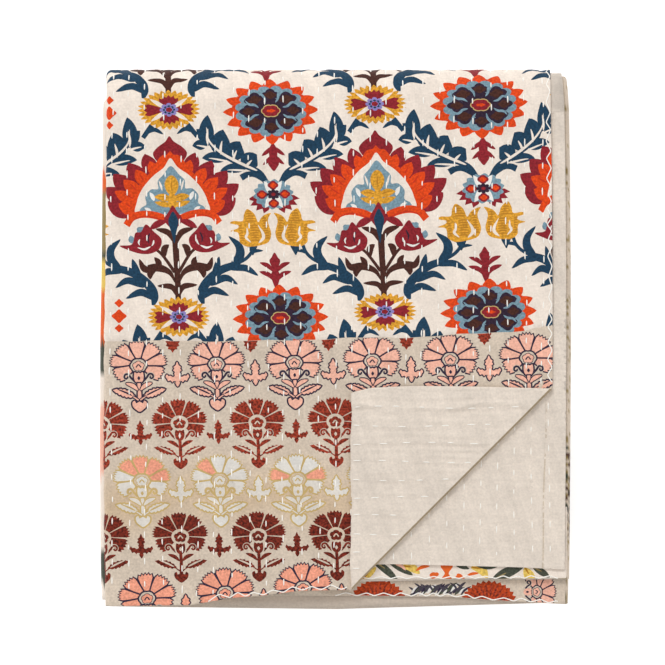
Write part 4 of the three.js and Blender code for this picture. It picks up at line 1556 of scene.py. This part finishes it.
def edge_zigzag(threads, start, stop, where, layer, rng, inward, deep):
    """An uneven zigzag thread along a bound edge: where gives the edge's place, inward the way off it."""
    turns = [start]
    while turns[-1] < stop:
        turns.append(turns[-1] + ZIGZAG_STEP / 2 * rng.uniform(0.75, 1.3))
    depths = [0.35 + (deep * rng.uniform(0.7, 1.15) if i % 2 else 0) for i in range(len(turns))]
    t = run(start, min(turns[-1], stop), 0.9)
    depth = np.interp(t, turns, depths)
    depth[1:-1] = (depth[:-2] + 2 * depth[1:-1] + depth[2:]) / 4
    x, y = where(t)
    x, y = x + inward[0] * depth, y + inward[1] * depth
    relief = puckers(x, y) * np.clip(depth / 3, 0, 1) if layer == "top" else np.zeros(len(t))
    path, up = surface(x, y, layer, 1, relief + 0.3 - edge_drop(depth))
    threads.lay(path, up, wide=0.8, high=0.5, tapered=False)


# Materials


def add_node(tree, kind, inputs=None, **settings):
    """A shader node with its settings, and its inputs as values or as links from other sockets."""
    node = tree.nodes.new(kind)
    for name, value in settings.items():
        setattr(node, name, value)
    for key, value in (inputs or {}).items():
        if isinstance(value, bpy.types.NodeSocket):
            tree.links.new(value, node.inputs[key])
        else:
            node.inputs[key].default_value = value
    return node


def maths(tree, operation, *values):
    """The result of one sum or product of sockets and values."""
    return add_node(tree, "ShaderNodeMath", dict(enumerate(values)), operation=operation).outputs[0]


def new_material(name, roughness, specular, sheen):
    """A material, its node tree, its shader, and the colour that the mesh gives."""
    material = bpy.data.materials.new(name)
    material.use_nodes = True
    tree = material.node_tree
    shader = tree.nodes["Principled BSDF"]
    shader.inputs["Roughness"].default_value = roughness
    shader.inputs["Specular IOR Level"].default_value = specular
    shader.inputs["Sheen Weight"].default_value = sheen
    ink = add_node(tree, "ShaderNodeAttribute", attribute_name="ink").outputs["Color"]
    return material, tree, shader, ink


def finish_material(tree, shader, ink, tone, height, bump, deep):
    """Links the toned ink and the relief of the threads to the shader."""
    shade = add_node(tree, "ShaderNodeVectorMath", {0: ink, 1: tone}, operation="MULTIPLY").outputs[0]
    tree.links.new(shade, shader.inputs["Base Color"])
    raised = add_node(tree, "ShaderNodeBump", {"Height": height, "Strength": bump, "Distance": deep})
    tree.links.new(raised.outputs[0], shader.inputs["Normal"])


def noise_of(tree, place, stretch, scale, detail=3.0):
    """Noise over the flat cloth in millimetres, stretched along the threads."""
    moved = add_node(tree, "ShaderNodeMapping", {"Vector": place, "Scale": stretch}).outputs[0]
    inputs = {"Vector": moved, "Scale": scale, "Detail": detail}
    return add_node(tree, "ShaderNodeTexNoise", inputs).outputs["Fac"]


def threads_of(tree, place, direction, pitch):
    """Fine ridges of the weave along one direction."""
    wave_scale = math.pi / 10 / pitch
    inputs = {"Vector": place, "Scale": wave_scale, "Distortion": 1.2, "Detail": 1.0, "Detail Scale": 2.0}
    return add_node(tree, "ShaderNodeTexWave", inputs, bands_direction=direction).outputs["Fac"]


def printed_through(tree, place):
    """How strongly the ink has printed: speckled by as much as the mesh's wear says."""
    wear = add_node(tree, "ShaderNodeAttribute", attribute_name="wear").outputs["Fac"]
    grain = noise_of(tree, place, (1.0, 1.0, 1.0), 0.62, 4.0)
    spread = {"Value": grain, "From Min": 0.36, "From Max": 0.64, "To Min": -SPECKLE, "To Max": SPECKLE}
    speckle = add_node(tree, "ShaderNodeMapRange", spread).outputs[0]
    return maths(tree, "MULTIPLY_ADD", speckle, wear, 1.0)


def cloth_material(name, pitch, mottle, rib=0.0, bump=0.35, deep=0.0004):
    """Woven cotton in the colours of the mesh: slubs, a weave, and optional ribs of fine crinkles."""
    material, tree, shader, ink = new_material(name, 0.88, 0.2, 0.12)
    flat = add_node(tree, "ShaderNodeUVMap", uv_map="cloth").outputs["UV"]
    scaled = {0: flat, 1: (1 / MM, 1 / MM, 1 / MM)}
    place = add_node(tree, "ShaderNodeVectorMath", scaled, operation="MULTIPLY").outputs[0]
    warp = noise_of(tree, place, (1.0, 0.12, 1.0), 0.9)
    weft = noise_of(tree, place, (0.12, 1.0, 1.0), 0.8)
    blotch = noise_of(tree, place, (1.0, 1.0, 1.0), 0.16, 4.0)
    slubs = maths(tree, "ADD", warp, weft)
    uneven = maths(tree, "ADD", maths(tree, "MULTIPLY", slubs, 0.5), maths(tree, "MULTIPLY", blotch, 0.7))
    tone = maths(tree, "MULTIPLY_ADD", uneven, mottle, 1 - 0.85 * mottle)
    tone = maths(tree, "MULTIPLY", tone, printed_through(tree, place))
    across = threads_of(tree, place, "X", pitch)
    along = threads_of(tree, place, "Y", pitch)
    height = maths(tree, "ADD", maths(tree, "MULTIPLY", across, along), maths(tree, "MULTIPLY", slubs, 1.2))
    if rib:
        crinkle = noise_of(tree, place, (1.0, 0.16, 1.0), 0.32, 2.0)
        height = maths(tree, "ADD", height, maths(tree, "MULTIPLY", crinkle, rib))
    finish_material(tree, shader, ink, tone, height, bump, deep)
    return material


def thread_material():
    """Cream cotton thread, a little fuzzy."""
    material, tree, shader, ink = new_material("cream_thread", 0.8, 0.25, 0.2)
    spot = add_node(tree, "ShaderNodeTexCoord").outputs["Object"]
    inputs = {"Vector": spot, "Scale": 900.0, "Detail": 2.0}
    twist = add_node(tree, "ShaderNodeTexNoise", inputs).outputs["Fac"]
    tone = maths(tree, "MULTIPLY_ADD", twist, 0.3, 0.84)
    finish_material(tree, shader, ink, tone, twist, 0.3, 0.0003)
    return material


# Outlines of the printed faces, as they lie flat


def flat_reach(y):
    """Reach of the top slab at flat heights, on round the wide fold."""
    past = y - TOP_CENTRE - FOLD_LENGTH
    length = layer_place(np.zeros_like(y), y, "top")[1]
    folded_y = np.where(past > 0, TOP_CENTRE - past, np.minimum(y, TOP_CENTRE))
    return reach_at(length, folded_y)


def end_line(x, column, layer):
    """y of the bound end at places across a layer: the top, second, third or fifth."""
    y = np.full_like(x, -180.0)
    w = layer_place(x, y, layer)[0]
    return lookup(ENDS, "w", w, column)


def chain(*parts):
    """One outline from several runs of points, without doubled corners."""
    line = np.vstack(parts)
    apart = np.linalg.norm(np.roll(line, -1, axis=0) - line, axis=1) > 0.02
    return line[apart]


def run(start, stop, step=1.6):
    """Evenly spaced values between two ends."""
    count = max(2, int(abs(stop - start) / step) + 1)
    return np.linspace(start, stop, count)


SEAM_RUN = run(-180, 160)


def top_outline():
    """The printed face of the top layer, its corner left off along the turned fold, and the wide fold."""
    up = run(FOLD_RIGHT[1], FOLD_END)
    right = line_of(flat_reach(up)["first_end"], up)
    high_left = flat_reach(up[-1:])["left_centre"][0] - ROUND_LEFT
    high = line_of(run(right[-1, 0], high_left), up[-1])
    back = run(up[-1], -189.8)
    left = line_of(flat_reach(back)["left_centre"] - ROUND_LEFT, back)
    across = run(left[-1, 0], FOLD_RIGHT[0] - FLAP_LEG)
    low = line_of(across, end_line(across, "first", "top"))
    slope = run(low[-1, 1], FOLD_RIGHT[1], 1.2)
    cut = line_of(turned_fold(slope), slope)
    left = left[left[:, 1] > low[0, 1]]
    return chain(right, high[1:], left[1:], low, cut[1:-1])


def panel_outline(above):
    """The part of the top face above or below the seam between its two panels."""
    outline = top_outline()
    kept = (outline[:, 1] > seam_line(outline[:, 0]) + 0.3) == above
    first = np.flatnonzero(kept & ~np.roll(kept, 1))[0]
    part = np.roll(outline, -first, axis=0)[: kept.sum()]
    seam = line_of(SEAM_RUN, seam_line(SEAM_RUN))
    ends = sorted((part[0, 0], part[-1, 0]))
    seam = seam[(seam[:, 0] > ends[0] + 0.2) & (seam[:, 0] < ends[1] - 0.2)]
    return chain(part, seam if above else seam[::-1])


def top_edges():
    """Extra lines just inside the bound edges of the top layer."""
    lines = []
    for away in END_LINES:
        up = run(FOLD_RIGHT[1] + 1, FOLD_END - 1)
        lines.append(line_of(flat_reach(up)["first_end"] - away, up))
        across = run(-170, FOLD_RIGHT[0] - FLAP_LEG - 2)
        lines.append(line_of(across, end_line(across, "first", "top") + away))
    return lines


def top_relief(x, y):
    """Puckers and seam of the top layer, which fade out towards its rounded bound edges."""
    right = flat_reach(y)["first_end"] - x
    low = np.where(y < 0, y - end_line(x, "first", "top"), 10.0)
    drop = np.maximum(edge_drop(np.maximum(right, 0)), edge_drop(np.maximum(low, 0)))
    near = np.clip(np.minimum(right, low) / 3, 0, 1)
    return (puckers(x, y) + seam_height(x, y)) * near - drop


def no_relief(x, y):
    """The face underneath stays smooth."""
    return 0 * x


def strip_outline(high_y, column, layer):
    """A strip of a lower layer from its bound end up to high_y."""
    across = run(LOW_LEFT, STRIP_RIGHT)
    low = line_of(across, end_line(across, column, layer))
    right = line_of(STRIP_RIGHT, run(low[-1, 1], high_y))
    high = line_of(run(STRIP_RIGHT, LOW_LEFT), high_y)
    left = line_of(LOW_LEFT, run(high_y, low[0, 1]))
    return chain(low, right[1:], high[1:], left[1:-1])


def low_relief(column, layer):
    """Rounded bound end of a lower layer, with small puckers."""

    def relief(x, y):
        away = np.maximum(y - end_line(x, column, layer), 0)
        return 0.12 * wavy(x, y, 13, 0.6) * np.clip(away / 3, 0, 1) - edge_drop(away)

    return relief


def strip_edges(column, layer):
    """Extra lines just inside the bound end of a lower layer."""
    across = run(LOW_LEFT + 1, STRIP_RIGHT - 1)
    return [line_of(across, end_line(across, column, layer) + away) for away in END_LINES]


# Making the pieces


def under_outline():
    """The face that the floral panel covers underneath, past the wide fold."""
    y = run(FOLD_END, FOLD_END + TOP_CENTRE - BOTTOM_CENTRE, 3.0)
    reach = flat_reach(y)
    left = line_of(reach["left_centre"] - ROUND_LEFT, y)
    return chain(line_of(reach["first_end"], y), left[::-1])


def second_outline():
    """The backing that shows under the turned corner and past the right edge of the top layer."""
    up = run(SECOND_LOW, TOP_CENTRE - 2)
    right = line_of(reach_at(np.full_like(up, 0.5), up)["last_end"] - 0.1, up)
    across = run(LOW_LEFT, right[0, 0])
    low = line_of(across, end_line(across, "first", "second"))
    right = right[right[:, 1] > low[-1, 1]]
    strip = line_of(UNCOVERED, run(TOP_CENTRE - 2, SECOND_TOP))
    high = line_of(run(UNCOVERED, LOW_LEFT), SECOND_TOP)
    left = line_of(LOW_LEFT, run(SECOND_TOP, low[0, 1]))
    return chain(low, right, strip, high[1:], left[1:-1])


def top_panel(name, above, shapes):
    """A printed panel of the top layer, above or below the seam."""
    return skin(name, panel_outline(above), shapes, "top", top_relief, printed, edges=top_edges())


def second_backing():
    """The backing that shows, with a line of painted shade along its hem's groove."""
    y = run(SECOND_LOW, SECOND_TOP, 2.5)
    mark = Print()
    # A line of painted shade along the hem's groove
    mark.add("hem_line", widened(line_of(hem_line(y), y), 1.0))
    sides = [line_of(hem_line(y) + away, y) for away in (-1.0, 1.0)]
    return skin("backing_second", second_outline(), mark.shapes, "second", second_relief, backing,
                ground="backing", side=-1, edges=sides)


def low_strip(name, top, column, layer, shapes):
    """The printed strip of a lower layer that shows, from its bound end up to top."""
    relief = low_relief(column, layer)
    edges = strip_edges(column, layer)
    return skin(name, strip_outline(top, column, layer), shapes, layer, relief, printed, edges=edges)


def all_edge_threads(threads, rng):
    """Zigzags up the right edge, along the bottom left edge, and along two lower layers."""
    edge_zigzag(threads, FOLD_RIGHT[1] + 2, FOLD_END,
                lambda t: (flat_reach(t)["first_end"], t), "top", rng, (-1, 0), 3.2)
    edge_zigzag(threads, -90.0, FOLD_RIGHT[0] - FLAP_LEG,
                lambda t: (t, end_line(t, "first", "top")), "top", rng, (0, 1), 3.4)
    for column, layer, deep in (("first", "third", 1.9), ("last", "fifth", 2.3)):
        edge_zigzag(threads, 0.0, 158.0, lambda t: (t, end_line(t, column, layer)), layer, rng, (0, 1), deep)


rng = np.random.default_rng(12)
printed = cloth_material("printed_cotton", pitch=0.62, mottle=0.22)
backing = cloth_material("plain_backing", pitch=0.8, mottle=0.16, rib=1.8, bump=0.65, deep=0.0005)
cream = thread_material()

body = cloth_body([printed, backing])
corner = turned_corner([printed, backing])

floral = Print()
floral_panel(floral, -20, FOLD_END)
for place in ((-160.2, 158.9), (-153.1, 15.2)):
    floral.put(diamonds(), place)
print_floral = top_panel("print_floral", True, floral.shapes)
band = Print()
carnation_band(band)
print_band = top_panel("print_band", False, band.shapes)

# The floral panel goes on round the wide fold and underneath
under = Print()
floral_panel(under, FOLD_END, FOLD_END + UNDER_REACH)
print_under = skin("print_under", under_outline(), under.shapes, "under", no_relief, printed, lift=0.0)

backing_second = second_backing()
print_third = low_strip("print_third", -120.0, "first", "third", third_layer_print().shapes)
print_fifth = low_strip("print_fifth", -130.0, "last", "fifth", fifth_layer_print().shapes)

sewing = Threads()
running_stitches(sewing, rng)
stitches = sewing.piece("running_stitches", cream)
sewing = Threads()
second_stitches(sewing, rng)
corner_stitches(sewing, rng)
back_stitches = sewing.piece("back_stitches", cream, BACK_THREAD_TONE)
sewing = Threads()
all_edge_threads(sewing, rng)
edge_thread = sewing.piece("edge_thread", cream)


# Floor, light and camera

CAMERA_HEIGHT = 5.0
HALF_WIDTH = 0.2354
TOP_PLANE = 0.037
SENSOR = 36.0
LOOK_AT = (-0.00183, 0.00374)


def studio_floor():
    """A large white floor."""
    mesh = bpy.data.meshes.new("floor")
    far = 3.0
    mesh.from_pydata([(-far, -far, 0), (far, -far, 0), (far, far, 0), (-far, far, 0)], [], [(0, 1, 2, 3)])
    material = bpy.data.materials.new("floor_white")
    material.use_nodes = True
    shader = material.node_tree.nodes["Principled BSDF"]
    shader.inputs["Base Color"].default_value = (0.8, 0.8, 0.8, 1)
    shader.inputs["Roughness"].default_value = 0.9
    shader.inputs["Emission Color"].default_value = (1, 1, 1, 1)
    shader.inputs["Emission Strength"].default_value = 0.55
    mesh.materials.append(material)
    made = bpy.data.objects.new("floor", mesh)
    bpy.context.scene.collection.objects.link(made)
    return made


def studio_light():
    """White light from all round, and a soft lamp from the upper left."""
    world = bpy.data.worlds.new("studio")
    bpy.context.scene.world = world
    world.use_nodes = True
    background = world.node_tree.nodes["Background"]
    background.inputs["Color"].default_value = (1, 1, 1, 1)
    background.inputs["Strength"].default_value = 0.80
    lamp = bpy.data.lights.new("soft_key", "SUN")
    lamp.energy = 1.0
    lamp.angle = math.radians(16)
    made = bpy.data.objects.new("soft_key", lamp)
    made.rotation_euler = (math.radians(-40), math.radians(-24), 0)
    bpy.context.scene.collection.objects.link(made)


def studio_camera():
    """The camera, straight above the quilt."""
    lens = bpy.data.cameras.new("camera")
    lens.sensor_width = SENSOR
    lens.lens = SENSOR / 2 * CAMERA_HEIGHT / HALF_WIDTH
    lens.clip_end = 20
    made = bpy.data.objects.new("camera", lens)
    made.location = (*LOOK_AT, TOP_PLANE + CAMERA_HEIGHT)
    bpy.context.scene.collection.objects.link(made)
    bpy.context.scene.camera = made


floor = studio_floor()
studio_light()
studio_camera()
bpy.context.scene.view_settings.view_transform = "Standard"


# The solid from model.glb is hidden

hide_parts("quilt")
